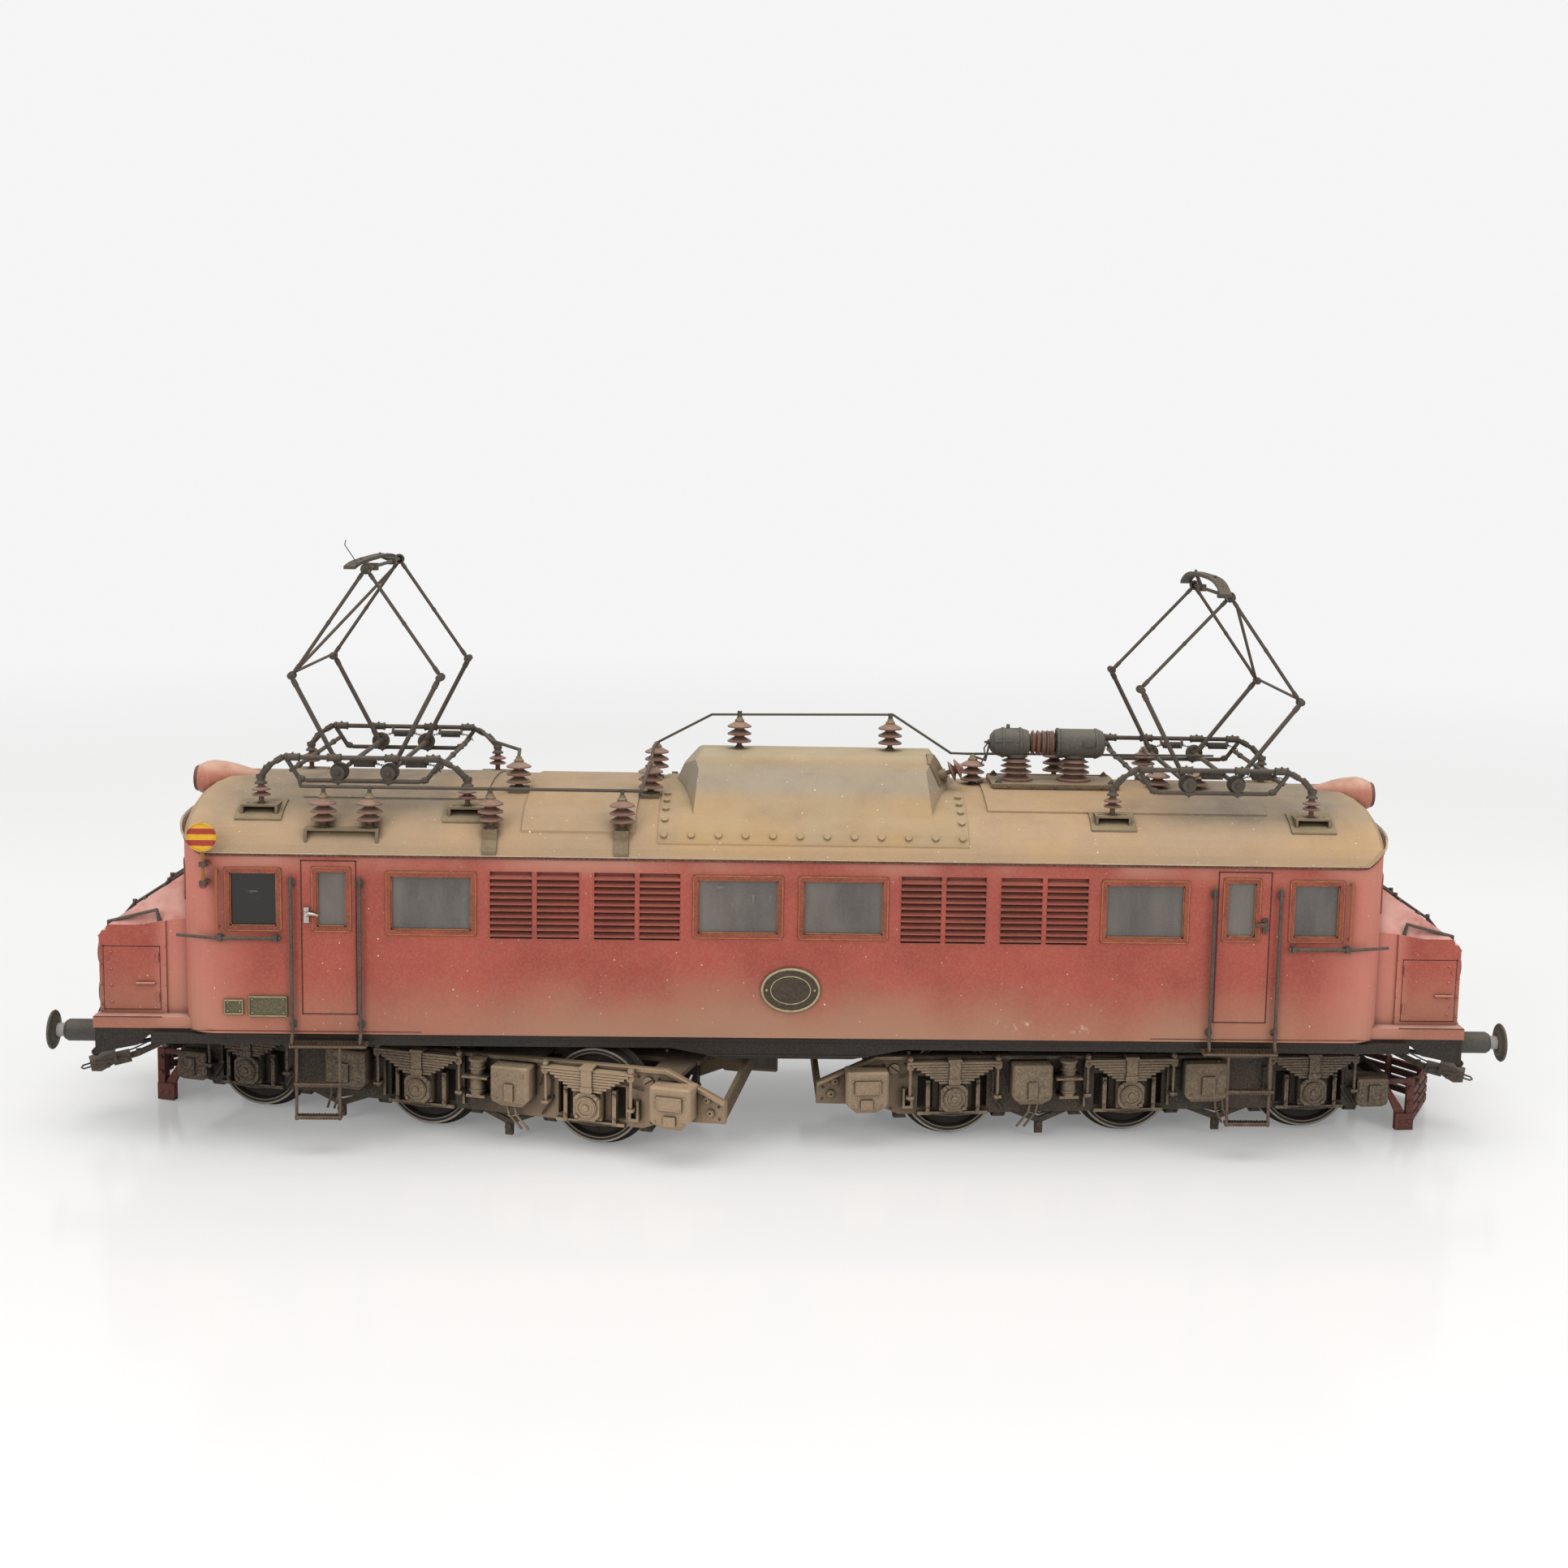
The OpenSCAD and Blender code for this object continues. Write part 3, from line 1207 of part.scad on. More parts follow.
module side_gear(end) {
    color([0.55, 0.48, 0.38]) on_bogie(end) both_sides() {
        for (u = axles) translate([u, 0, 0]) {
            axlebox();
            leaf_spring();
        }
        casting([-31.8, 10.8], [-21.6, 21.2], 27.9, 1.5, [-27.9, 12.6, -25.6, 17]);
        casting([13, 10.6], [24, 20.8], 27.4, 1.3, [17.2, 12.8, 20.6, 17.6]);
        casting([-74, 9.2], [-63.4, 20.2], 28.1, 1.9, [-71.9, 14.6, -65.4, 18]);
        block([-70.4, -28.6, 10.8], [-67.4, -28, 13.2]);
        casting([59.2, 8], [67.6, 15.5], 25.6, 0.9, [62.2, 9.6, 65, 14]);
        sand_pipes(-26.4, -1);
        sand_pipes(21.4, 1);
        translate([-17.1, -24.9, 12.6]) cylinder(h = 4.6, r = 1.9);
        translate([-17.1, -24.9, 17.2]) cylinder(h = 0.7, r = 2.6);
        translate([-17.1, -24.9, 17.9]) cylinder(h = 3.4, r = 1.9);
        translate([-17.1, -24.9, 21.3]) cylinder(h = 0.6, r = 2.3);
        block([-20.6, -27.4, 17.2], [-13.8, -plate_outside, 17.7]);
        block([-19.6, -26.6, 12.1], [-14.6, -plate_outside, 12.8]);
        for (u = [-12.4, 9.4]) block([u - 0.3, -23.4, 9], [u + 0.3, -plate_outside, 21]);
        for (u = [-59, -57]) block([u - 0.3, -24, 10], [u + 0.3, -plate_outside, 14.6]);
        block([-59.3, -24, 9.4], [-56.7, -plate_outside, 10.1]);
        side_prism([[-81, 15.4], [-81, 16.2], [-66, 22.8], [50, 21.5], [50, 20.8], [-66, 22]],
                   -23.3, -plate_outside);
        difference() {
            cross_cylinder([-61.4, 19.4], 1.3, -23, -plate_outside);
            translate([-61.4, -23, 19.4]) rotate([0, 35, 0]) cube([3, 0.7, 0.4], center = true);
        }
        for (p = [[-77.4, 13.2], [-76.4, 16.4]]) cross_cylinder(p, 1, -22.9, -plate_outside);
    }
}

// Brake blocks on hangers beside each wheel, joined by pull rods under the axles
module brake_rigging(end) {
    color([0.28, 0.25, 0.22]) on_bogie(end) {
        for (u = axles, s = [-1, 1]) {
            both_sides() difference() {
                block([u + s * 12.4 - 1.8, -18.6, 5.2], [u + s * 12.4 + 1.8, -16.2, 14]);
                cross_cylinder([u, axle_height], flange_radius + 0.35, -25, 0);
            }
            both_sides()
                if (u + s * 14.1 > 60) rod([u + 13.8, -17.4, 12], [u + 14.4, -17.4, 14.1], 0.5);
                else rod([u + s * 14.1, -17.4, 12], [u + s * 14.8, -plate_inside + 0.5, 17.8], 0.5);
            rod([u + s * 13.9, -18, 5.8], [u + s * 13.9, 18, 5.8], 0.5);
        }
        both_sides() {
            for (ends = [[12.4, 34], [-33.4, -13.4]]) {
                u = (ends[0] + ends[1]) / 2;
                side_prism([
                    [ends[0] - 0.6, 9.4], [u, 5.4], [ends[1] + 0.6, 9.4], [ends[1] + 0.6, 8.2], [u + 1, 4.2],
                    [u + 1, 1.2], [u - 1, 1.2], [u - 1, 4.2], [ends[0] - 0.6, 8.2]
                ], -20.6, -19.6);
                block([ends[0], -20.3, 8.4], [ends[1], -19.8, 9.1]);
                for (end = ends) rod([end, -20, 8.8], [end, -17.6, 8.8], 0.45);
            }
        }
    }
}

plow_tip = 88.8;
plow_root = 76;
plow_half = 20;
plow_head = 10.8;

// V-shaped slatted plow on two posts with stays back to the bogie
module plow(end) {
    wing = plow_half + 0.4;
    color([0.5, 0.17, 0.14]) on_bogie(end) {
        both_sides() {
            block([plow_root - 4.2, -plow_half - 0.9, 0.2], [plow_root + 0.6, -plow_half + 0.9, 4.6]);
            block([plow_root - 1.4, -plow_half - 0.6, 4.4], [plow_root + 0.6, -plow_half + 0.6, 14]);
            side_prism([[68.5, 11.4], [68.5, 13.6], [plow_root - 1.8, 5.2], [plow_root - 1.8, 4.2],
                        [plow_root - 4, 4.2]], -20.4, -19.4);
            block([68.5, -20.5, 12.6], [plow_root - 1, -19.5, 13.8]);
        }
        for (i = [0:3]) translate([0, 0, 1.2 + i * 2.4]) linear_extrude(1.7) polygon([
            [plow_root, -wing], [plow_tip, 0], [plow_root, wing],
            [plow_root - 1, wing], [plow_tip - 1.4, 0], [plow_root - 1, -wing]
        ]);
        block([plow_tip - 2.8, -0.8, 0.9], [plow_tip - 0.8, 0.8, plow_head]);
        both_sides() block([plow_root + 4.8, -10.4, 0.9], [plow_root + 6.2, -9, plow_head]);
    }
}

module motor(end) {
    color([0.2, 0.2, 0.2]) on_bogie(end) translate([motor_u, 0, axle_height]) difference() {
        cross_cylinder([0, 0], spine_foot - axle_height, -8, 8);
        cross_cylinder([0, 0], 5.9, -7, 7);
        cross_cylinder([0, 0], 0.75 + running_clearance, -9, 9);
    }
}

module armature(end) {
    color([0.7, 0.55, 0.3]) on_bogie(end) translate([motor_u, 0, axle_height]) {
        cross_cylinder([0, 0], 0.75, -9.4, 14);
        cross_cylinder([0, 0], 5.2, -5, 5);
        translate([0, 12.9, 0]) rotate([90, 0, 0]) rotate([0, 0, 180 / motor_teeth])
            linear_extrude(2.4) polygon(gear_outline(motor_teeth));
    }
}

body_shell();
roof();
roof_hood();
roof_hatches();
noses();
lamp_housings();
lamp_lenses();
cab_doors();
locker_doors();
window_frames();
window_glass();
louvres();
handrails();
builder_plates();
pantograph_frames();
insulators();
insulator_feet();
busbars();
breaker();
underframe();
buffer_beams();
buffer_stocks();
buffer_springs();
steps();
brake_hoses();
signal_disc();
buffer_plunger(-1, -1);  // buffer_left_near
buffer_plunger(-1, 1);  // buffer_left_far
buffer_plunger(1, -1);  // buffer_right_near
buffer_plunger(1, 1);  // buffer_right_far
coupler(-1);  // coupler_left
coupler(1);  // coupler_right
pantograph_lower(left_pantograph, -1, left_lift);  // left_lower_west
pantograph_lower(left_pantograph, 1, left_lift);  // left_lower_east
pantograph_upper(left_pantograph, -1, left_lift, 1);  // left_upper_west
pantograph_upper(left_pantograph, 1, left_lift, 1);  // left_upper_east
collector(left_pantograph, left_lift, 1, -3.2, 25.5, 0.9, true);  // left_collector
pantograph_lower(right_pantograph, -1, right_lift);  // right_lower_west
pantograph_lower(right_pantograph, 1, right_lift);  // right_lower_east
pantograph_upper(right_pantograph, -1, right_lift, -1);  // right_upper_west
pantograph_upper(right_pantograph, 1, right_lift, -1);  // right_upper_east
collector(right_pantograph, right_lift, 3.6, -1.8, 25, 3.4, false);  // right_collector
wheelset(-1, 0);  // wheelset_left_outer
wheelset(-1, 1);  // wheelset_left_middle
wheelset(-1, 2);  // wheelset_left_inner
wheelset(1, 0);  // wheelset_right_outer
wheelset(1, 1);  // wheelset_right_middle
wheelset(1, 2);  // wheelset_right_inner
bogie_frame(-1);  // bogie_frame_left
bogie_frame(1);  // bogie_frame_right
side_gear(-1);  // side_gear_left
side_gear(1);  // side_gear_right
brake_rigging(-1);  // brake_rigging_left
brake_rigging(1);  // brake_rigging_right
plow(-1);  // plow_left
plow(1);  // plow_right
motor(-1);  // motor_left
motor(1);  // motor_right
armature(-1);  // armature_left
armature(1);  // armature_right
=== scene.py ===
import json
from itertools import product
from math import atan2, cos, pi, radians, sin, sqrt

import bmesh
import bpy
from mathutils import Matrix, Vector


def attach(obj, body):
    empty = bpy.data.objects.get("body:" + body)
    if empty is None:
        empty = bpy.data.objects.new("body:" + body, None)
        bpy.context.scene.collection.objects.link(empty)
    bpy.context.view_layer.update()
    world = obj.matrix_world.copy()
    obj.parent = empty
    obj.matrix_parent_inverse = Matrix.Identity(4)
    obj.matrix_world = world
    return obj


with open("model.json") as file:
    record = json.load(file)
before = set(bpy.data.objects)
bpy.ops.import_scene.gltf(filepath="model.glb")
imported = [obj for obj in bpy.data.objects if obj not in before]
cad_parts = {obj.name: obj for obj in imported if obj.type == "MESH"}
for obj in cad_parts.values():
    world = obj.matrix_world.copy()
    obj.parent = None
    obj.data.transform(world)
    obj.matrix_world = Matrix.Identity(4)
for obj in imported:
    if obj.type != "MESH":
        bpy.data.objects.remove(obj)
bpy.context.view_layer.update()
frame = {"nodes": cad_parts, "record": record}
NODES = frame["nodes"]
MM = 0.001
ENDS = {"left": -1, "right": 1}
SIDES = {"near": -1, "far": 1}
BOTH = (-1, 1)
CORNERS = list(product(BOTH, BOTH))  # (side, end): the near side and the left end are -1
UP = (0, 0, 1)
scene = bpy.context.scene

# ---------------------------------------------------------------- camera
YAW, TILT, ROLL = 0.042693, 0.128541, -0.021721  # radians
EYE = Vector((-4.4325, -512.808, 175.307)) * MM
FOCAL_PX, CENTRE_PX, IMAGE = 2453.025, (1060.159, 865.515), 1932
SENSOR = 36


def make_camera():
    forward = Vector((sin(YAW) * cos(TILT), cos(YAW) * cos(TILT), -sin(TILT)))
    level = Vector((cos(YAW), -sin(YAW), 0))
    down = forward.cross(level)
    right = cos(ROLL) * level + sin(ROLL) * down
    down = cos(ROLL) * down - sin(ROLL) * level
    data = bpy.data.cameras.new("camera")
    cam = bpy.data.objects.new("camera", data)
    scene.collection.objects.link(cam)
    turn = Matrix((right, -down, -forward)).transposed().to_4x4()
    cam.matrix_world = Matrix.Translation(EYE) @ turn
    data.sensor_width = SENSOR
    data.lens = SENSOR * FOCAL_PX / IMAGE
    data.shift_x = (IMAGE / 2 - CENTRE_PX[0]) / IMAGE
    data.shift_y = (CENTRE_PX[1] - IMAGE / 2) / IMAGE
    data.clip_start = 0.01
    data.clip_end = 20
    scene.camera = cam


make_camera()

# ---------------------------------------------------------------- materials
X, Y, Z = 0, 1, 2
DOOR_X = 0.105  # where the wall is dustiest, beside a cab door
BOGIE_X = 86.4 * MM
BOGIE_YAW = {"left": radians(-16.7), "right": radians(4.3)}


def rgb(text):
    """A colour written as six hex digits of sRGB, as linear red, green, blue and 1."""
    out = []
    for i in (0, 2, 4):
        v = int(text[i:i + 2], 16) / 255
        out.append(v / 12.92 if v <= 0.04045 else ((v + 0.055) / 1.055) ** 2.4)
    return (*out, 1.0)


class Tree:
    """A node tree with a short call for a new node."""

    def __init__(self, tree):
        self.tree = tree

    def put(self, socket, value):
        """Sets a socket to a number, a vector or a colour, or links it to another node's output."""
        if isinstance(value, (int, float, tuple)):
            socket.default_value = value
        else:
            self.tree.links.new(value, socket)

    def node(self, kind, inputs=None, **fields):
        n = self.tree.nodes.new("ShaderNode" + kind)
        for k, v in fields.items():
            setattr(n, k, v)
        for k, v in (inputs or {}).items():
            self.put(n.inputs[k], v)
        return n


class Paint(Tree):
    """A material's node tree with short calls for the patterns used here, in metres."""

    def __init__(self, name):
        self.mat = bpy.data.materials.new(name)
        self.mat.use_nodes = True
        super().__init__(self.mat.node_tree)
        self.shader = self.tree.nodes["Principled BSDF"]
        self.coord = self.node("TexCoord").outputs["Object"]

    def math(self, op, a, b=0.0):
        return self.node("Math", {0: a, 1: b}, operation=op).outputs[0]

    def times(self, a, b):
        return self.math("MULTIPLY", a, b)

    def ramp(self, value, low, high, smooth=True):
        """0 at low, 1 at high."""
        kind = "SMOOTHSTEP" if smooth else "LINEAR"
        inputs = {"Value": value, "From Min": low, "From Max": high}
        return self.node("MapRange", inputs, interpolation_type=kind).outputs[0]

    def mix(self, fac, a, b):
        return self.node("Mix", {0: fac, 6: a, 7: b}, data_type="RGBA").outputs[2]

    def tint(self, col, colour, amount, where):
        """Lays a colour over col, by an amount where a mask is 1."""
        return self.mix(self.times(where, amount), col, rgb(colour))

    def axis(self, which):
        return self.node("SeparateXYZ", {0: self.coord}).outputs[which]

    def off(self, which, middle=0.0):
        """Distance from a middle plane."""
        place = self.axis(which)
        return self.math("ABSOLUTE", self.math("ADD", place, -middle) if middle else place)

    def near(self, which, middle, reach, soft):
        """1 where a coordinate is within reach of middle, fading to 0 over soft."""
        return self.ramp(self.off(which, middle), reach + soft, reach)

    def normal(self, which):
        facing = self.node("NewGeometry").outputs["Normal"]
        return self.node("SeparateXYZ", {0: facing}).outputs[which]

    def noise(self, scale, detail=3, rough=0.55, distort=0.0, stretch=None):
        place = self.coord
        if stretch:
            place = self.node("VectorMath", {0: place, 1: stretch}, operation="MULTIPLY").outputs[0]
        look = {"Vector": place, "Scale": scale, "Detail": detail, "Roughness": rough, "Distortion": distort}
        return self.node("TexNoise", look).outputs["Fac"]

    def spots(self, scale, size, seed):
        """1 inside scattered round spots, 0 outside."""
        shift = self.node("VectorMath", {0: self.coord, 1: (seed, seed * 2, seed * 3)}, operation="ADD")
        cell = self.node("TexVoronoi", {"Vector": shift.outputs[0], "Scale": scale}).outputs
        red = self.node("SeparateColor", {0: cell["Color"]}).outputs[0]
        pick = self.times(self.ramp(red, 0.7, 1.0, False), size)
        return self.ramp(self.math("SUBTRACT", pick, cell["Distance"]), 0.0, 0.02)

    def recess_wash_and_shade(self, reach):
        """1 in corners and gaps, 0 in the open: the mask of the dark wash and painted shade there."""
        shade = self.node("AmbientOcclusion", {"Distance": reach}, samples=6)
        return self.math("SUBTRACT", 1.0, self.ramp(shade.outputs["AO"], 0.35, 0.95))

    def edges(self, radius):
        """1 along sharp edges, 0 on flats."""
        rounded = self.node("Bevel", {"Radius": radius}, samples=4).outputs[0]
        facing = self.node("NewGeometry").outputs["Normal"]
        both = self.node("VectorMath", {0: rounded, 1: facing}, operation="DOT_PRODUCT")
        return self.ramp(both.outputs["Value"], 0.98, 0.8)

    def bump(self, height, strength, distance):
        inputs = {"Strength": strength, "Distance": distance, "Height": height}
        self.put(self.shader.inputs["Normal"], self.node("Bump", inputs).outputs[0])

    def finish(self, colour, rough, metallic, specular):
        for name, value in (("Base Color", colour), ("Roughness", rough), ("Metallic", metallic),
                            ("Specular IOR Level", specular)):
            self.put(self.shader.inputs[name], value)
        return self.mat


MATS = {}  # every material by name


def paint(name, tones, dust="9A8868", top_dust_and_light=0.25, dust_and_light_up=None, dust_low=None, grain=0.25, dirt_and_shade="2A211B",
          recess_wash_and_shade=0.55, reach=0.0022, rough=(0.5, 0.8), chips=None, chip_size=0.16, wear=None, patch=55,
          metallic=0.0, special=None):
    """Airbrushed, dusty paint in MATS: mottled base, fine speckle, dust and a painted top light on
    upward faces, dust low down, dark wash and painted shade in the recesses, and chips and worn
    edges where they are asked for. Tones are the base, a lighter and a darker colour."""
    m = Paint(name)
    base, light, dark = tones.split()
    big = m.noise(patch, 4, 0.6)
    fine = m.noise(1700, 3, 0.7)
    finest = m.noise(4200, 2, 0.6)
    col = m.mix(m.ramp(big, 0.32, 0.68), rgb(dark), rgb(light))
    col = m.mix(0.55, col, rgb(base))
    if special:
        col = special(m, col)
    col = m.tint(col, dust, grain, m.ramp(fine, 0.38, 0.68))
    col = m.tint(col, dirt_and_shade, grain, m.ramp(finest, 0.52, 0.74))
    # Dust and painted top light: upward faces turn paler, standing in for light from above.
    up = m.times(m.ramp(m.normal(Z), 0.25, 0.95), m.ramp(m.noise(130, 4, 0.6), 0.1, 0.65))
    col = m.tint(col, dust_and_light_up or dust, top_dust_and_light, up)
    if dust_low:
        low, high, amount = dust_low
        wave = m.math("ADD", m.axis(Z), m.times(m.math("SUBTRACT", m.noise(22), 0.5), 0.022))
        middle = m.math("ADD", 0.5, m.times(m.near(X, -0.002, 0.03, 0.07), 0.45))
        along = m.math("MAXIMUM", middle, m.times(m.near(X, DOOR_X, 0.01, 0.035), 0.85))
        col = m.tint(col, dust, amount, m.times(m.ramp(wave, high, low), along))
    # Dark wash and painted shade: the dirt colour darkens corners and gaps by ambient occlusion.
    if recess_wash_and_shade:
        col = m.tint(col, dirt_and_shade, recess_wash_and_shade, m.recess_wash_and_shade(reach))
    if wear:
        colour, amount = wear
        col = m.tint(col, colour, amount, m.times(m.edges(0.0003), m.ramp(m.noise(420, 4, 0.7), 0.48, 0.7)))
    if chips:
        for seed, scale, size in ((0.37, 330, chip_size), (1.37, 800, chip_size * 1.4)):
            col = m.tint(col, chips, 0.7, m.spots(scale, size, seed))
    m.bump(m.math("ADD", m.times(fine, 0.6), m.times(finest, 0.4)), 0.25, 0.00012)
    rise = m.times(m.ramp(big, 0.3, 0.7), rough[1] - rough[0])
    MATS[name] = m.finish(col, m.math("ADD", rise, rough[0]), metallic, 0.35)


def body_tone(m, col):
    """Paler, pinker paint towards the ends and their corners, a painted highlight of the lit cab
    corners, a browner top edge, and small pale smudges low on the near wall."""
    away = m.off(X)
    # Painted highlight: the cab ends and corners are paler, as if lit.
    col = m.tint(col, "D98F7F", 0.55, m.times(m.ramp(away, 0.128, 0.147), m.ramp(away, 0.158, 0.152)))
    top = m.ramp(m.axis(Z), 0.068, 0.0735)
    col = m.mix(m.times(top, m.ramp(m.noise(35), 0.3, 0.7)), col, rgb("B87E6C"))
    col = m.tint(col, "8A3A33", 0.16, m.ramp(m.noise(90, 4, 0.6, stretch=(1, 1, 0.12)), 0.5, 0.75))
    smear = m.times(m.near(Z, 0.0325, 0.0016, 0.001), m.ramp(m.noise(260, 4, 0.7), 0.56, 0.66))
    return m.tint(col, "DCC4BA", 0.8, m.times(smear, m.near(X, 0.062, 0.006, 0.012)))


def roof_tone(m, col):
    """Grey soot under the pantographs, grey and warm clouds, a darker foot and paler ends."""
    soot = m.math("MAXIMUM", m.near(X, -0.108, 0.020, 0.03), m.near(X, 0.122, 0.012, 0.03))
    col = m.tint(col, "6C6962", 0.9, m.times(soot, m.ramp(m.off(Y), 0.034, 0.022)))
    col = m.tint(col, "86796A", 0.45, m.ramp(m.noise(16, 4, 0.65), 0.38, 0.66))
    col = m.tint(col, "B08A58", 0.5, m.ramp(m.noise(24, 3, 0.6, stretch=(1, 1.6, 1)), 0.48, 0.7))
    col = m.tint(col, "8F7E64", 0.3, m.ramp(m.axis(Z), 0.0785, 0.0755))
    return m.tint(col, "C9A684", 0.3, m.ramp(m.off(X), 0.138, 0.150))


def hood_tone(m, col):
    """Bluish grey along the hood's shoulders, a grey painted shading on its sloped ends by the way they face,
    pale on top.
    """
    col = m.tint(roof_tone(m, col), "86817A", 0.65, m.near(Z, 0.0915, 0.0012, 0.0035))
    # Painted shading: faces turned towards the ends take a grey tint by their direction.
    col = m.tint(col, "9C9484", 0.35, m.ramp(m.math("ABSOLUTE", m.normal(X)), 0.3, 0.6))
    return m.tint(col, "B3AA92", 0.5, m.ramp(m.axis(Z), 0.0945, 0.0963))


def rail_tone(m, col):
    """The upright rails beside the cab windows are orange-brown like the window frames."""
    away = m.off(X)
    beside = m.times(m.ramp(away, 0.1381, 0.1382), m.ramp(away, 0.1394, 0.1393))
    return m.mix(m.times(beside, m.ramp(m.axis(Z), 0.0551, 0.0553)), col, rgb("9A5630"))


def plate_tone(m, col):
    """A pale worn rim round a darker field."""
    return m.tint(m.mix(0.7, col, rgb("4A4634")), "8F845C", 0.8, m.ramp(m.off(Y), 0.03532, 0.03542))


def disc_tone(m, col):
    """Five level bands, yellow and red, of a common signal pattern."""
    foot, band_height, front = 0.0753, 0.0014, -0.03765
    up = m.times(m.math("ADD", m.axis(Z), -foot), 1 / band_height)
    odd = m.math("GREATER_THAN", m.math("FLOORED_MODULO", up, 2.0), 1.0)
    on_disc = m.times(m.ramp(m.axis(Z), foot - 0.0001, foot), m.math("LESS_THAN", m.axis(Y), front))
    band = m.mix(odd, rgb("D9A521"), rgb("9E3224"))
    return m.mix(on_disc, col, m.tint(band, "7E4A20", 0.4, m.ramp(m.noise(700, 4, 0.7), 0.55, 0.7)))


def breaker_tone(m, col):
    """The base plate is painted like the roof."""
    return m.mix(m.ramp(m.axis(Z), 0.0897, 0.0896), col, rgb("9A8567"))


def steel_shank(m, col):
    """Bare steel on the stretch of the shank that slides."""
    return m.mix(m.ramp(m.off(X), 0.1836, 0.1834), col, rgb("A9A5A0"))


def axle_dust_and_shade(end):
    """Tan dust is thickest at the inner end of the left bogie; both bogies are darker towards their outer
    ends, at the left bogie as a painted shadow; everything between the side frames is painted shade."""
    # Each end's tan dust band and its darker outer band, the left one a painted shadow.
    dust_and_shade_bands = {"left": (("A48B70", 0.75, -0.080, -0.052), ("332B25", 0.85, -0.078, -0.125)),
             "right": (("9C846A", 0.5, 0.040, 0.024), ("3E352D", 0.7, 0.095, 0.150))}[end]

    def tone(m, col):
        along = m.axis(X)
        for colour, amount, low, high in dust_and_shade_bands:
            col = m.tint(col, colour, amount, m.ramp(along, low, high))
        out = m.math("ADD", m.times(m.math("ADD", along, -ENDS[end] * BOGIE_X), -sin(BOGIE_YAW[end])),
                     m.times(m.axis(Y), cos(BOGIE_YAW[end])))
        # Painted shade: everything between the side frames is darkened.
        return m.tint(col, "1A1512", 0.7, m.ramp(m.math("ABSOLUTE", out), 0.0209, 0.0200))
    return tone


# Paints of the body and the roof.
ROOF = dict(grain=0.22, dirt_and_shade="4A4336", chips="EAE4D6", chip_size=0.1, patch=28)
RAIL = dict(tones="46403B 585048 332D28", dust="8A7460", patch=160)
# The body's upward faces are much paler: dust and a painted top light.
paint("body_paint", "A0483C AD5749 8E3A30", "A28268", 0.75, "ECC3B7", (0.030, 0.047, 0.8), 0.2,
      chips="E6DCCF", chip_size=0.09, wear=("C98A70", 0.5), special=body_tone)
paint("louvre_paint", "A2493C B4584A 7C342B", "A07C68", 0.2, grain=0.2, recess_wash_and_shade=0.7, wear=("B87A64", 0.5))
paint("lamp_paint", "B06A58 BC7B67 9A5848", "B39A80", 0.7, "D9BCA4")
# Dark maroon, for the lamp rims and for the painted shadow strip under the eaves.
paint("maroon_and_eave_shadow", "5E3029 703C33 44211D", "A98670", grain=0.3, wear=("B08A70", 0.5))
paint("pale_edge", "B9A284 CBB798 8C7658", "C9B896", grain=0.35, patch=130)
paint("seam", "4A211C 5C2B25 30140F", "7A5A4A", 0.1, grain=0.2, recess_wash_and_shade=0)
paint("roof_paint", "AE8C68 BE986C 8E7C68", "B09778", 0.28, "CCB08C", wear=("CDBD9A", 0.5),
      special=roof_tone, **ROOF)
paint("hood_paint", "A0835F B08E62 867764", "A8926F", 0.3, "C8B492", wear=("C4B48F", 0.4),
      special=hood_tone, **ROOF)
paint("window_wood", "8A4032 9C4C3B 5C2A20", "A8866A", grain=0.18, wear=("D8944E", 0.7), patch=220,
      recess_wash_and_shade=0.8)
paint("window_bead", "A86430 C47E40 74401E", "B08C68", dirt_and_shade="2E160C", wear=("E0A460", 0.7), patch=320,
      recess_wash_and_shade=0.7)
paint("rail_paint", special=rail_tone, **RAIL)
paint("dark_rail", wear=("8C847A", 0.5), **RAIL)
paint("step_rust", "544438 665343 392C23", "867158", grain=0.3, patch=200, wear=("9A8268", 0.5))
paint("white_metal", "C8C2B8 D8D4CC 9C948A", "E4DED2", grain=0.3, metallic=0.5, rough=(0.3, 0.5))
paint("plate_metal", "5E563E 71684A 453F2D", "8E8462", grain=0.35, special=plate_tone)
paint("plate_rim", "A2946E B8AA84 7C7050", "C6BA98", grain=0.35, patch=300)
paint("badge_dark", "3C3128 4A3C30 2A221C", "6E5E4A", patch=200)
paint("signal_enamel", "A06A2C B88036 7E4A20", grain=0.08, rough=(0.25, 0.45), special=disc_tone)

# Paints of the gear on the roof.
paint("pantograph_steel", "48423B 534A41 3B352E", "7A6854", 0.4, grain=0.14, patch=60, recess_wash_and_shade=0.4,
      wear=("8C7F70", 0.5))
paint("insulator", "7A5043 8B5F50 5C3C33", "A58F7B", 0.65, grain=0.16, patch=140, rough=(0.3, 0.6))
paint("roof_iron", "75634C 867259 524434", "A08E6E", 0.7, recess_wash_and_shade=0.8)
paint("breaker_grey", "4E4D48 5C5A54 3A3A36", "877C68", 0.35, grain=0.2, wear=("7E7A70", 0.5),
      special=breaker_tone)

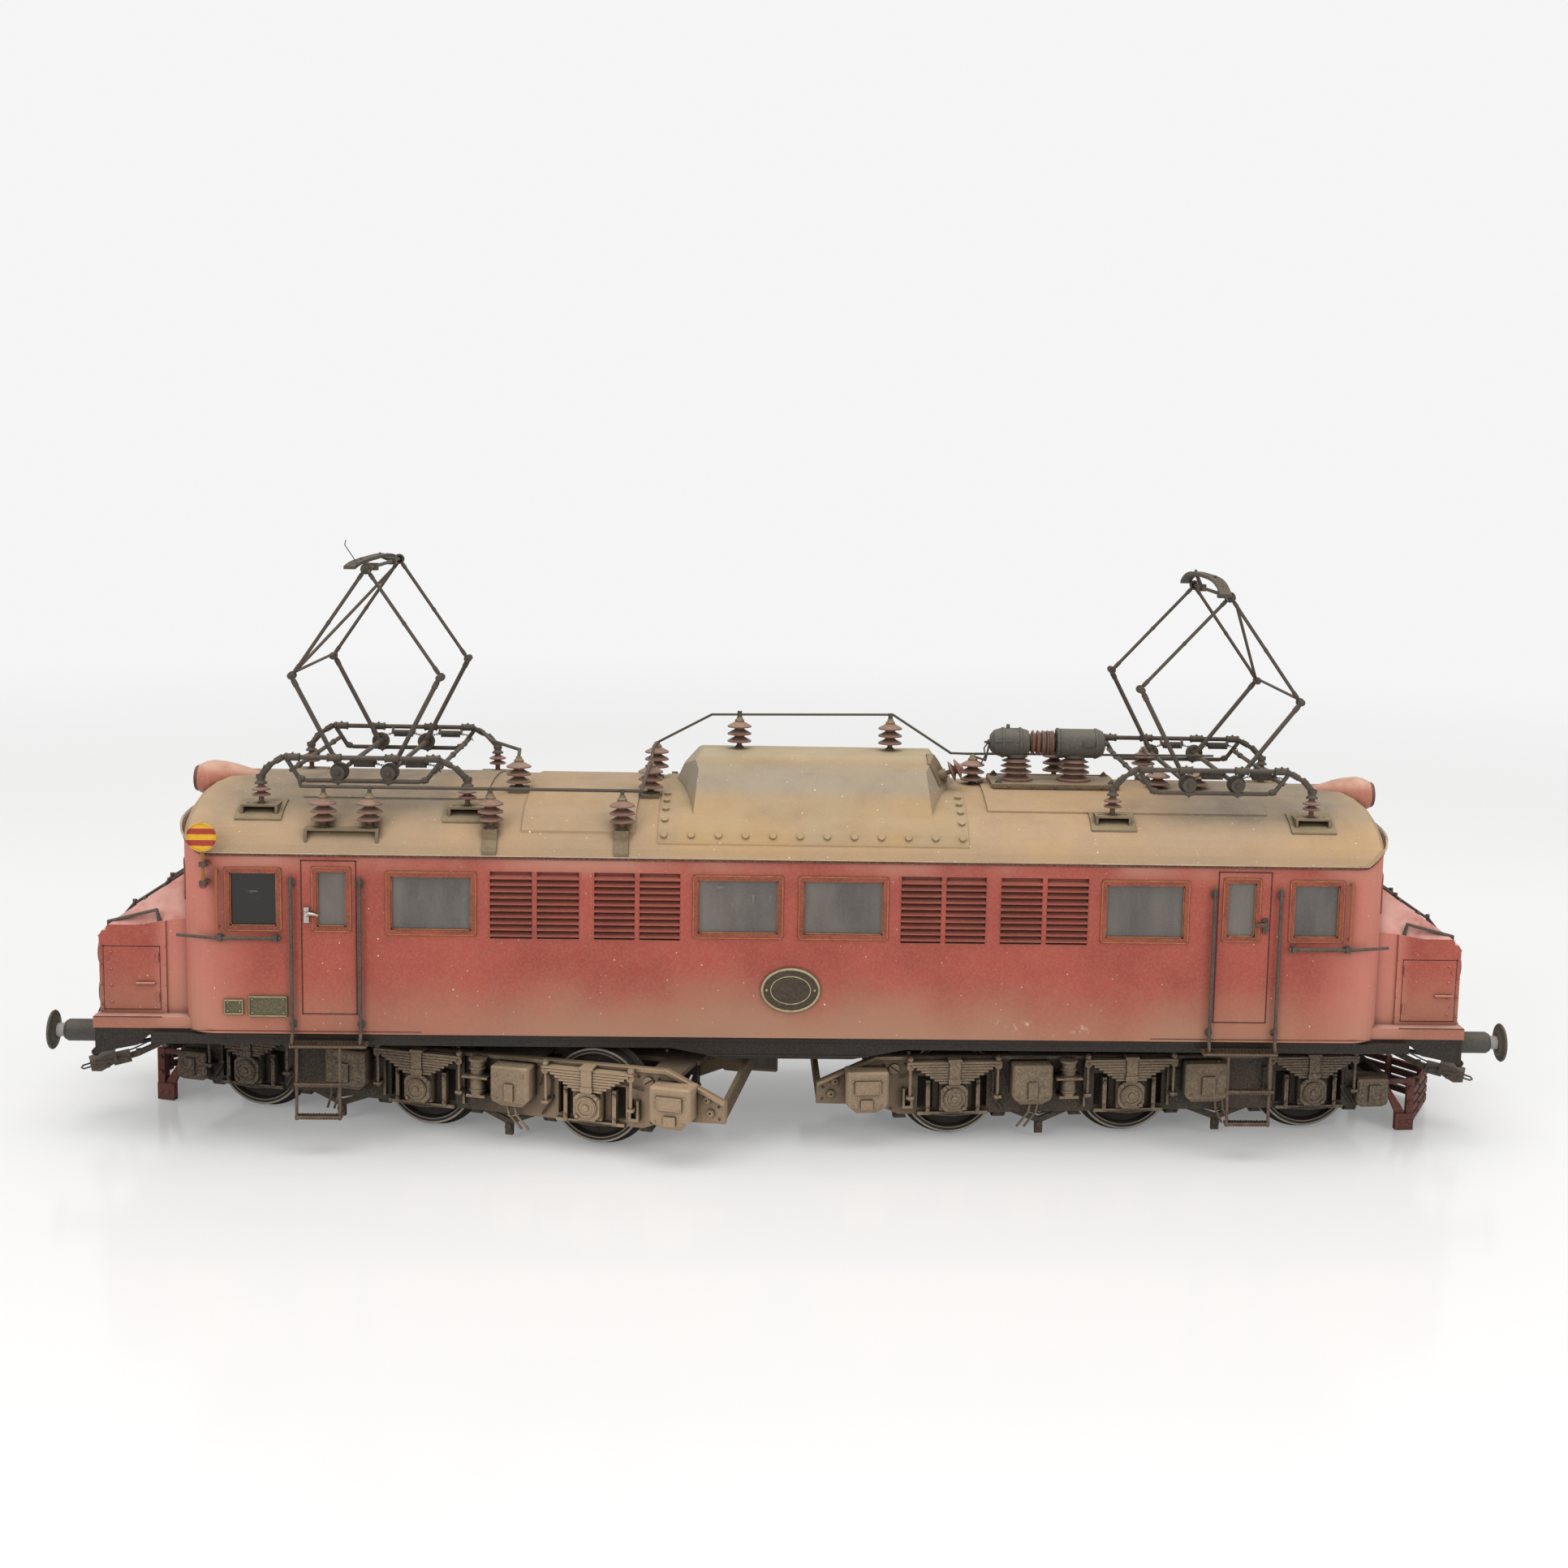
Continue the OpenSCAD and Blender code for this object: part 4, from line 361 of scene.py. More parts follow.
# Paints of the underframe, buffers and couplers.
BUFFER = dict(tones="46443F 56524C 33302C", dust="7E7466", grain=0.15, wear=("B4B0A8", 0.6))
paint("underframe_black", "221D19 2E2721 15110E", "5E5040", 0.3, grain=0.18)
paint("buffer_grey", **BUFFER)
paint("plunger", special=steel_shank, **BUFFER)
paint("buffer_head", "4E4A3E 5E594B 38352C", "8A806C", grain=0.2, wear=("A09A86", 0.7))
paint("spring_steel", "8A8782 9B9893 6C6863", metallic=0.9, rough=(0.3, 0.5))
paint("coupler_iron", "50473E 62574B 3A332C", "8A7863", wear=("9A8C7A", 0.6))

# Paints of the bogies.
# The gear's paint: deep painted shade in its gaps over 5 mm, and dust with a painted top light on upward
# faces.
GEAR_DUST_AND_SHADE = dict(dust="B39C7E", top_dust_and_light=0.6, grain=0.3, dirt_and_shade="17120F", recess_wash_and_shade=0.95, reach=0.005)
# The side frames' tones are dark brown paint darkened further as painted shade under the body.
FRAME_PAINT_AND_SHADE = dict(tones="362D26 463B31 241E19", dust="7A6A54", top_dust_and_light=0.5, grain=0.28, dirt_and_shade="1A1511")
# The wheels' dark faces are partly painted shade under the frames, with strong painted shade in their
# recesses.
paint("wheel_steel", "241F1A 302923 181410", "5A4C3D", 0.1, grain=0.18, patch=120, recess_wash_and_shade=0.9, reach=0.004)
paint("tyre_steel", "968E84 AAA297 6E665C", "A0907C", grain=0.2, metallic=0.5, rough=(0.35, 0.55))
paint("bogie_grey", "3C332B 4C4137 29231D", "80705A", 0.5, grain=0.3, dirt_and_shade="1A1511")
paint("bogie_dusty", "74634F 8A7860 524538", **GEAR_DUST_AND_SHADE)
paint("bogie_left", "74634F 8A7860 524538", wear=("A8937A", 0.5), special=axle_dust_and_shade("left"), **GEAR_DUST_AND_SHADE)
paint("bogie_right", "6A5B4A 7E6E5A 4A3F34", wear=("A8937A", 0.5), special=axle_dust_and_shade("right"), **GEAR_DUST_AND_SHADE)
for end in ENDS:
    paint("frame_" + end, special=axle_dust_and_shade(end), **FRAME_PAINT_AND_SHADE)
paint("plow_red", "5E2E28 703A32 3E201B", "7C6856", wear=("B08C7A", 0.6), recess_wash_and_shade=0.8)
paint("motor_can", "2E2C2A 3A3835 201E1C", grain=0.1)
paint("armature_brass", "9A7B45 B08E52 7A6034", metallic=0.7, rough=(0.3, 0.5))


def glass(name, pane, dust, cover, one_clean=False):
    """Dirty glazing in MATS: a dark pane under a film of dust, with speckle and two directions
    of streaks. One window, at the near side of the left cab, may be clean and painted black as the shade of
    the cab behind it."""
    m = Paint(name)
    film = m.ramp(m.noise(60, 5, 0.6, stretch=(1, 1, 0.35)), 0.2, 0.8)
    speckle = m.ramp(m.noise(2600, 3, 0.7), 0.35, 0.75)
    base = rgb(pane)
    if one_clean:
        clean = m.times(m.math("LESS_THAN", m.axis(X), -0.120), m.math("LESS_THAN", m.axis(Y), -0.0335))
        # Painted shade: the clean pane is black, for the unlit cab behind it.
        base = m.mix(clean, base, rgb("151312"))
        film = m.times(film, m.math("SUBTRACT", 1.0, m.times(clean, 0.97)))
        speckle = m.times(speckle, m.math("SUBTRACT", 1.0, m.times(clean, 0.9)))
    col = m.tint(base, dust, cover, film)
    col = m.tint(col, dust, 0.25, speckle)
    for lean in ((0.2, 1, 1), (1, 1, 0.15)):
        col = m.tint(col, "C9C4BC", 0.12, m.ramp(m.noise(900, 2, 0.5, 0.4, stretch=lean), 0.72, 0.75))
    m.bump(m.noise(900), 0.1, 0.0001)
    MATS[name] = m.finish(col, m.math("ADD", m.times(film, 0.3), 0.18), 0.0, 0.5)


# The windows' dark pane paints the shade of the cab behind the glass.
glass("window_glass", "3E3A38", "7E756E", 0.85, True)
glass("lamp_glass", "A7A49A", "D8D4C8", 0.5)

# Each CAD node wears its slot's material, or a closer one of its own.
SLOTS = {s["node"]: s["material_slot"] for s in frame["record"]["subparts"]}
OWN = {"louvres": "louvre_paint", "roof_hood": "hood_paint", "lamp_housings": "lamp_paint",
       "steps": "step_rust"}
for end in ENDS:
    OWN["side_gear_" + end] = "bogie_" + end
    OWN["bogie_frame_" + end] = "frame_" + end
    for side in SIDES:
        OWN[f"buffer_{end}_{side}"] = "plunger"

for name, ob in NODES.items():
    ob.data.materials.clear()
    ob.data.materials.append(MATS[OWN.get(name, SLOTS[name])])
    for p in ob.data.polygons:
        p.material_index = 0


# ---------------------------------------------------------------- shapes
SHARP = radians(40)


def around(centre, u, v, count, first=0):
    """Points evenly round a circle or oval whose half axes are u and v; first is in degrees."""
    centre, u, v = Vector(centre), Vector(u), Vector(v)
    angles = [radians(first) + 2 * pi * k / count for k in range(count)]
    return [centre + cos(w) * u + sin(w) * v for w in angles]


def square_to(axis, choice):
    """A direction square to axis and to choice, or to X where axis lies along choice."""
    side = axis.cross(Vector(choice))
    if side.length < 0.05:
        side = axis.cross(Vector((1, 0, 0)))
    return side.normalized()


class Shape:
    """Collects solids, in millimetres, into one mesh."""

    def __init__(self, place=None):
        self.bm = bmesh.new()
        self.place = place or Matrix.Identity(4)

    def add(self, points, faces):
        verts = [self.bm.verts.new(self.place @ Vector(p)) for p in points]
        for f in faces:
            self.bm.faces.new([verts[i] for i in f])

    def box(self, corner, opposite):
        points = list(product(*(sorted(pair) for pair in zip(corner, opposite))))
        self.add(points, [(0, 1, 3, 2), (4, 6, 7, 5), (0, 4, 5, 1), (2, 3, 7, 6), (0, 2, 6, 4), (1, 5, 7, 3)])

    def rings(self, rings, closed=False):
        """Skins a row of equal rings of points; the ends are capped unless the row is closed."""
        n = len(rings[0])
        faces = []
        for i in range(len(rings) if closed else len(rings) - 1):
            j = (i + 1) % len(rings)
            for k in range(n):
                m = (k + 1) % n
                faces.append((i * n + k, i * n + m, j * n + m, j * n + k))
        if not closed:
            faces.append(tuple(range(n)))
            faces.append(tuple((len(rings) - 1) * n + k for k in range(n)))
        self.add([p for r in rings for p in r], faces)

    def tube(self, points, r, sides=8, closed=False):
        """A round bar along points, of radius r or of one radius for each point."""
        pts = [Vector(p) for p in points]
        rings = []
        up = Vector((0.12, 0.3, 0.95)).normalized()
        for i, p in enumerate(pts):
            before = pts[i - 1] if i or closed else p
            after = pts[(i + 1) % len(pts)] if i < len(pts) - 1 or closed else p
            t = (after - before).normalized()
            side = square_to(t, up)
            up = side.cross(t).normalized()
            size = r[i] if isinstance(r, list) else r
            rings.append(around(p, size * side, size * up, sides))
        self.rings(rings, closed)

    def lathe(self, profile, centre, axis, sides=16, loop=False):
        """Turns (radius, distance along the axis) pairs about an axis through centre; a loop
        is a closed outline, which makes a ring."""
        axis = Vector(axis).normalized()
        side = square_to(axis, UP)
        other = axis.cross(side)
        self.rings([around(Vector(centre) + t * axis, r * side, r * other, sides) for r, t in profile], loop)

    def knob(self, centre, axis, r, h, sides=12):
        """A low domed rivet or bolt head."""
        self.lathe([(r, -0.1), (r, h * 0.45), (r * 0.72, h * 0.85), (r * 0.2, h)], centre, axis, sides)

    def nut(self, centre, axis, r, h):
        """A hexagon nut with the end of its bolt."""
        bolt = [(r * 0.4, h), (r * 0.35, h * 1.6), (r * 0.15, h * 1.7)]
        self.lathe([(r, -0.1), (r, h * 0.8), (r * 0.85, h), *bolt], centre, axis, 6)

    def coil(self, start, end, radius, wire, turns):
        a, b = Vector(start), Vector(end)
        t = (b - a).normalized()
        side = t.cross(Vector(UP)).normalized()
        up = side.cross(t)
        steps = 10
        count = turns * steps
        points = []
        for i in range(count + 1):
            w = 2 * pi * i / steps
            points.append(a + (b - a) * i / count + radius * (cos(w) * side + sin(w) * up))
        self.tube(points, wire, 5)

    def chain(self, points, link=0.4, wire=0.1):
        """Small oval links, every second one turned, along a line of points."""
        pts = [Vector(p) for p in points]
        total = sum((b - a).length for a, b in zip(pts, pts[1:]))
        count = max(2, int(total / (link * 1.4)))
        for i in range(count):
            far = total * (i + 0.5) / count
            for a, b in zip(pts, pts[1:]):
                if far <= (b - a).length:
                    break
                far -= (b - a).length
            t = (b - a).normalized()
            side = t.cross(Vector(UP)).normalized()
            flat = side if i % 2 else side.cross(t)
            self.tube(around(a + far * t, link * t, link * 0.55 * flat, 8), wire, 4, closed=True)

    def ribbon(self, path, low, high, inner, outer):
        """A flat bar swept round a closed path of (x, y, outward x, outward y), at the eave."""
        section = ((inner, low), (outer, low), (outer, high), (inner, high))
        rings = [[(x + d * nx, y + d * ny, eave(x) + h) for d, h in section] for x, y, nx, ny in path]
        self.rings(rings, closed=True)

    def finish(self, name, slot, material=None, body="body", bevel=0.0):
        """Makes the piece: smooth, with its sharp edges kept, riding on a body."""
        bm = self.bm
        bmesh.ops.recalc_face_normals(bm, faces=bm.faces)
        for f in bm.faces:
            f.smooth = True
        for e in bm.edges:
            if len(e.link_faces) == 2 and e.calc_face_angle(0) > SHARP:
                e.smooth = False
        bmesh.ops.scale(bm, vec=(MM, MM, MM), verts=bm.verts)
        mesh = bpy.data.meshes.new(name)
        bm.to_mesh(mesh)
        bm.free()
        ob = bpy.data.objects.new(name, mesh)
        scene.collection.objects.link(ob)
        mesh.materials.append(MATS[material or slot])
        if bevel:
            soften(ob, bevel)
        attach(ob, body)


def soften(ob, width):
    """Rounds a piece's sharp edges by a width in millimetres."""
    m = ob.modifiers.new("soft_edges", "BEVEL")
    m.width = width * MM
    m.segments = 2
    m.limit_method = "ANGLE"
    m.angle_limit = radians(50)
    m.miter_outer = "MITER_ARC"


# ---------------------------------------------------------------- measures of the frame, in millimetres
WALL = 35.0  # y of the side wall
NOSE = 170.6  # x of the nose's front
NOSE_LAMP = (17.5, 45.6)  # y, z
TOP_LAMP = (152.6, 86.6)  # x, z
CAB_DOOR = (112.15, 6.7)  # middle x, half width
PANTOGRAPHS = {"left": (-105.1, (62.9, 62.9)), "right": (104.8, (62.3, 52.4))}  # middle x, lifts in degrees
PIVOT = (6.1, 93.1)  # of a lower arm: x from the middle, z
BREAKER_Z = 99.1
BUFFER = (185, 19.4, 25.3)  # middle of the head's face
AXLES = {"outer": 47.2, "middle": -0.8, "inner": -46.4}  # along the bogie from its pivot
AXLE_Z = 13.4


def plan(out):
    """The body's plan as (x, y, outward x, outward y), grown by out."""
    half, wide, bow, corner = 153 + out, WALL + out, 90, 9 + out
    reach = wide - corner
    run = sqrt((bow - corner) ** 2 - reach ** 2)
    turn = atan2(reach, run)
    middle = half - bow
    steps = 8
    quarter = []
    for i in range(steps + 1):
        a = turn * i / steps
        quarter.append((middle + bow * cos(a), bow * sin(a), cos(a), sin(a)))
    for i in range(1, steps + 1):
        a = turn + (pi / 2 - turn) * i / steps
        x, y = middle + run + corner * cos(a), reach + corner * sin(a)
        quarter.append((x, y, cos(a), sin(a)))
    for x in range(120, -1, -20):
        quarter.append((float(x), wide, 0.0, 1.0))
    top = quarter + [(-x, y, -nx, ny) for x, y, nx, ny in reversed(quarter[:-1])]
    return top + [(x, -y, nx, -ny) for x, y, nx, ny in reversed(top[1:-1])]


def eave(x):
    """Height of the joint between roof and walls."""
    return 74.5 + 4.9 * min(1.0, max(0.0, (abs(x) - 143) / 7))


def bogie_place(end):
    s = ENDS[end]
    turn = Matrix.Rotation(BOGIE_YAW[end], 4, "Z")
    return Matrix.Translation((s * BOGIE_X / MM, 0, 0)) @ turn @ Matrix.Diagonal((s, 1, 1, 1))


def coupler_place(end):
    turn = Matrix.Rotation(radians(-22), 4, "Z")
    return Matrix.Diagonal((ENDS[end], 1, 1, 1)) @ Matrix.Translation((152, 0, 0)) @ turn


def linkage(end):
    """Middle, knees and top pin of a pantograph in X and Z."""
    lower, upper = 26.1, 31.9
    middle, lifts = PANTOGRAPHS[end]
    knees = []
    for s, lift in zip(BOTH, lifts):
        a = radians(lift)
        knees.append(Vector((middle + s * (PIVOT[0] + lower * cos(a)), PIVOT[1] + lower * sin(a))))
    span = knees[1] - knees[0]
    half = span.length / 2
    rise = sqrt(upper ** 2 - half ** 2) * Vector((-span.y, span.x)) / (2 * half)
    return middle, knees, (knees[0] + knees[1]) / 2 + rise


def at(point, y):
    return Vector((point[0], y, point[1]))


# ---------------------------------------------------------------- body details
def eave_shadow_strip():
    # A dark maroon strip under the roof's edge, the painted shadow of its overhang.
    s = Shape()
    s.ribbon(plan(0), -0.75, -0.12, -0.3, 0.42)
    s.finish("eave_shadow_strip", "body_paint", "maroon_and_eave_shadow")
    s = Shape()
    s.ribbon(plan(0.86), -0.06, 0.2, -0.4, 0.06)
    s.finish("roof_edge_line", "roof_paint", "pale_edge")


def seam(s, x, z, side, y, width=0.28, proud=0.05):
    """A thin dark line round a rectangle on a side wall, between two values of x and of z."""
    (a, c), (b, d) = sorted(x), z
    for p, q in (((a, b), (c, b + width)), ((a, d - width), (c, d)), ((a, b), (a + width, d)),
                 ((c - width, b), (c, d))):
        s.box(at(p, side * (y - 0.2)), at(q, side * (y + proud)))


def wall_seams():
    s = Shape()
    door, half = CAB_DOOR
    for side, end in CORNERS:
        seam(s, (end * (door - half), end * (door + half)), (34.45, 72.85), side, WALL + 0.05)
        seam(s, (end * 155, end * 168.9), (33.2, 49.3), side, 27.62, 0.25, 0.42)
        s.tube([(end * x, side * 31.43, 32.35) for x in (153.8, 155.9, 170.4)], 0.14, 6)
        s.tube([(end * x, side * (WALL + 0.02), 30.15) for x in (90, 146)], 0.1, 6)
    s.finish("panel_seams", "underframe_black", "seam")


def rivets_and_fixings():
    s = Shape()
    for side, end in CORNERS:
        out = (0, side, 0)
        for z in (35.2, 39.4, 43.4, 47.6):
            s.knob((end * 166.9, side * 28.12, z), out, 0.34, 0.3)
        for z in (36.5, 46.5):
            s.tube([(end * 155.6, side * 28.3, z - 1.1), (end * 155.6, side * 28.3, z + 1.1)], 0.34, 8)
        for x, z in product((153.9, 169.6), (34.5, 39.5, 44.5, 49.2)):
            s.knob((end * x, side * 28, z), out, 0.26, 0.22)
        for i in range(6):
            s.knob((end * NOSE, side * (4.5 + i * 4.2), 51.2 if i > 2 else 50.2), (end, 0, 0), 0.28, 0.22)
        y, z = NOSE_LAMP
        for p in around((end * NOSE, side * y, z), (0, 4.75, 0), (0, 0, 4.75), 8, 22):
            s.knob(p, (end, 0, 0), 0.26, 0.22)
    s.finish("body_rivets", "body_paint")


def lamp_rims():
    rims, domes = Shape(), Shape()
    for end in BOTH:
        out = (end, 0, 0)
        for side in BOTH:
            lamp = (end * NOSE, side * NOSE_LAMP[0], NOSE_LAMP[1])
            rims.lathe([(3.5, 0.9), (3.75, 1.5), (4.1, 1.75), (4.45, 1.5), (4.5, 0.3), (4.3, -0.1)],
                       lamp, out, 28)
            domes.lathe([(3.5, 0.7), (2.6, 1.05), (1.4, 1.25), (0.3, 1.3)], lamp, out, 28)
        lamp = (end * TOP_LAMP[0], 0, TOP_LAMP[1])
        rims.lathe([(2.7, 0.1), (2.75, 0.55), (3.05, 0.7), (3.3, 0.4), (3.35, -0.3)], lamp, out, 28)
        domes.lathe([(2.75, 0.45), (2, 0.8), (1, 0.98), (0.2, 1.02)], lamp, out, 28)
    rims.finish("lamp_rims", "body_paint", "maroon_and_eave_shadow")
    domes.finish("lamp_domes", "lamp_glass")


def window_beads():
    """A rounded bead inside each window frame, and a line of putty round it."""
    s = Shape()
    windows = [(12.9, 11, 54.6, 70.3), (87.5, 10.9, 54.6, 70.3), (130.3, 6.8, 55.2, 70.8),
               (111.5, 4.7, 55.2, 71.2)]
    cut = 0.5
    for (side, end), (mid, half, foot, head) in product(CORNERS, windows):
        for gap, r, y in ((1.25, 0.22, WALL - 0.3), (0.1, 0.18, WALL + 0.2)):
            a, b = end * mid - half + gap, end * mid + half - gap
            c, d = foot + gap, head - gap
            outline = [(a + cut, c), (b - cut, c), (b, c + cut), (b, d - cut),
                       (b - cut, d), (a + cut, d), (a, d - cut), (a, c + cut)]
            s.tube([at(p, side * y) for p in outline], r, 8, closed=True)
    s.finish("window_beads", "window_wood", "window_bead")


def door_handles():
    """The near handle at the left is bright metal, the other three are dark."""
    bright, dull = Shape(), Shape()
    for side, end in CORNERS:
        s = bright if (side, end) == (-1, -1) else dull
        x, y, z = end * 117.5, side * (WALL + 0.1), 59.6
        s.box((x - 0.6, y, z - 2.2), (x + 0.6, y + side * 0.35, z + 1.6))
        s.lathe([(0.55, 0), (0.55, 0.6), (0.4, 1.1), (0.2, 1.15)], (x, y, z), (0, side, 0), 12)
        bend = ((0, 0.85, 0), (0.8, 1.05, 0.25), (1.9, 1, 0.1), (2.9, 0.75, -0.35))
        s.tube([(x - end * u, y + side * v, z + w) for u, v, w in bend], [0.36, 0.4, 0.34, 0.2], 8)
        s.knob((x, y + side * 0.3, z - 1.6), (0, side, 0), 0.28, 0.2)
    bright.finish("door_handle_bright", "spring_steel", "white_metal")
    dull.finish("door_handles", "rail_paint", "dark_rail")


def rail_fixings():
    """Feet where the handrails meet the wall, and knobs at their ends."""
    s = Shape()
    for side, end in CORNERS:
        y, out = side * (WALL + 0.02), (0, side, 0)
        for x in (104.5, 121):
            for z in (32.1, 67.1):
                s.lathe([(0.95, -0.05), (0.95, 0.25), (0.55, 0.45), (0.4, 0.9)], (end * x, y, z), out, 12)
            for z, way in ((30.5, -1), (68.7, 1)):
                s.knob((end * x, side * 36.3, z), (0, 0, way), 0.5, 0.5)
        for x in (124.8, 138.2):
            s.lathe([(0.9, -0.05), (0.9, 0.25), (0.5, 0.4), (0.4, 0.9)], (end * x, y, 53.6), out, 12)
            s.box((end * x - 0.55, side * 35.8, 52.9), (end * x + 0.55, side * 36.9, 54.3))
        s.knob((end * 123.9, side * 36.3, 53.6), (-end, 0, 0), 0.5, 0.5)
    s.finish("rail_fixings", "rail_paint", "dark_rail")
    s = Shape()
    for side, end in CORNERS:
        for x, z in ((162, 58.2), (157, 61.6)):
            s.lathe([(0.75, -0.4), (0.9, 0), (0.75, 0.4)], (end * x, side * 15.5, z), (end, 0, -0.66), 12)
        for x, y, z, r in ((168.2, 15.5, 53.2, 0.9), (167.6, 27, 53.4, 0.8), (155.1, 27, 55.2, 0.8)):
            s.knob((end * x, side * y, z), UP, r, 0.5)
    s.finish("nose_rail_fixings", "rail_paint", "dark_rail")


def badge_and_plates():
    rings, field = Shape(), Shape()
    x, z = 0.3, 41.8
    for side in BOTH:
        y, out = side * (WALL + 0.5), (0, side, 0)
        for wide, tall, r, lift in ((7, 5.3, 0.3, 0.06), (4.9, 3.5, 0.13, 0.1)):
            rings.tube(around((x, y + side * lift, z), (wide, 0, 0), (0, 0, tall), 48), r, 6, closed=True)
        field.rings([around((x, y + side * t, z), (6.9, 0, 0), (0, 0, 5.2), 48) for t in (-0.1, 0.1)])
        for off in (-5.9, 5.9):
            rings.knob((x + off, y + side * 0.1, z), out, 0.3, 0.2)
        for a, b, c, d in ((-137.7, 34.3, -133, 38.1), (-131.8, 33.8, -122.4, 39)):
            for p in product((a + 0.85, c - 0.85), (b + 0.85, d - 0.85)):
                rings.knob(at(p, side * (WALL + 0.3)), out, 0.22, 0.18)
            a, b, c, d = a + 0.25, b + 0.25, c - 0.25, d - 0.25
            rings.tube([at(p, y) for p in ((a, b), (c, b), (c, d), (a, d))], 0.16, 6, closed=True)
    rings.finish("plate_rims", "plate_metal", "plate_rim")
    field.finish("badge_field", "plate_metal", "badge_dark")


def disc_details():
    x = -141.5
    s = Shape()
    s.tube(around((x, -38.35, 78.8), (3.4, 0, 0), (0, 0, 3.4), 40), 0.16, 6, closed=True)
    s.finish("disc_rim", "signal_enamel")
    s = Shape()
    for z in (67.4, 72):
        s.box((x - 0.8, -36.5, z - 0.6), (x + 0.8, -35.2, z + 0.6))
        s.nut((x + 0.8, -36.2, z), (1, 0, 0), 0.45, 0.35)
    s.lathe([(0.8, 0), (0.9, 0.5), (0.6, 1.1), (0.3, 1.3)], (x, -37.4, 66.2), UP, 12)
    s.finish("disc_bracket", "window_wood")


# ---------------------------------------------------------------- roof details
def pantograph_frame_details(end):
    middle = PANTOGRAPHS[end][0]
    s, springs = Shape(), Shape()
    for side in BOTH:
        y, out = side * 27.4, (0, side, 0)
        for x in (middle - 2.7, middle + 9.9):
            springs.coil((x, side * 25.7, 95.2), (x + 5.2, side * 25.7, 95.2), 0.82, 0.17, 13)
        for line in (((-6.2, 26.2, 95.1), (-4.6, 25.9, 94.7), (-2.9, 25.7, 95.2)),
                     ((3, 25.7, 95.2), (5, 25.8, 94.6), (7.4, 25.8, 94.7), (9.4, 25.7, 95.2)),
                     ((15.6, 25.8, 95.2), (17.6, 26, 94.8), (18.6, 26.2, 93.4))):
            springs.chain([(middle + u, side * v, w) for u, v, w in line])
        for a, b, lean in (((-24.4, 92.6), (-22.3, 95.1), 0.985), ((24.6, 92.4), (22.4, 94.8), 0.985),
                           ((-21.2, 95.7), (-19.4, 96.8), 1), ((21.4, 95.2), (19.6, 96.2), 1)):
            s.tube([(middle + a[0], y * lean, a[1]), (middle + b[0], y, b[1])], 0.8, 12)
        for x in (middle - 25, middle + 25.2):
            foot = side * 26.5
            cup = [(1.5, 0), (1.5, 0.35), (1.1, 0.6), (0.9, 1), (0.9, 1.9), (0.5, 2.1)]
            s.lathe(cup, (x, foot, 90), UP, 14)
            s.nut((x, foot, 92), UP, 0.6, 0.5)
            s.box((x - 1.1, foot - 0.35, 91.2), (x + 1.1, foot + 0.35, 92.3))
        for x in (-17, -7, 7, 17):
            for d in (-1.5, 1.5):
                s.lathe([(1.02, -0.2), (1.08, 0), (1.02, 0.2)], (middle + x + d, y, 96.8), (1, 0, 0), 14)
            s.nut((middle + x, y, 97.6), UP, 0.38, 0.3)
        for way in BOTH:
            x = middle + way * 15
            s.lathe([(0.8, -0.7), (0.85, 0), (0.8, 0.7)], (x, y, 91.5), (1, 0, 0.25 * way), 12)
            x, z = middle + way * PIVOT[0], PIVOT[1]
            s.lathe([(1.75, -0.12), (1.75, 0.12)], (x, side * 27.95, z), out, 20)
            s.nut((x, side * 28.3, z), out, 0.55, 0.3)
            s.box((x - 1, y - 0.7, 90.5), (x + 1, y + 0.7, 91.3))
            s.nut((x, y, 90.6), (0, 0, -1), 0.5, 0.4)
    for x, y in product((-17.4, 17.4), (-19, 0, 19)):
        s.lathe([(0.72, -0.9), (0.8, 0), (0.72, 0.9)], (middle + x, y, 93.6), (0, 1, 0), 12)
    s.finish(end + "_frame_clamps", "pantograph_steel")
    springs.finish(end + "_frame_springs", "pantograph_steel")


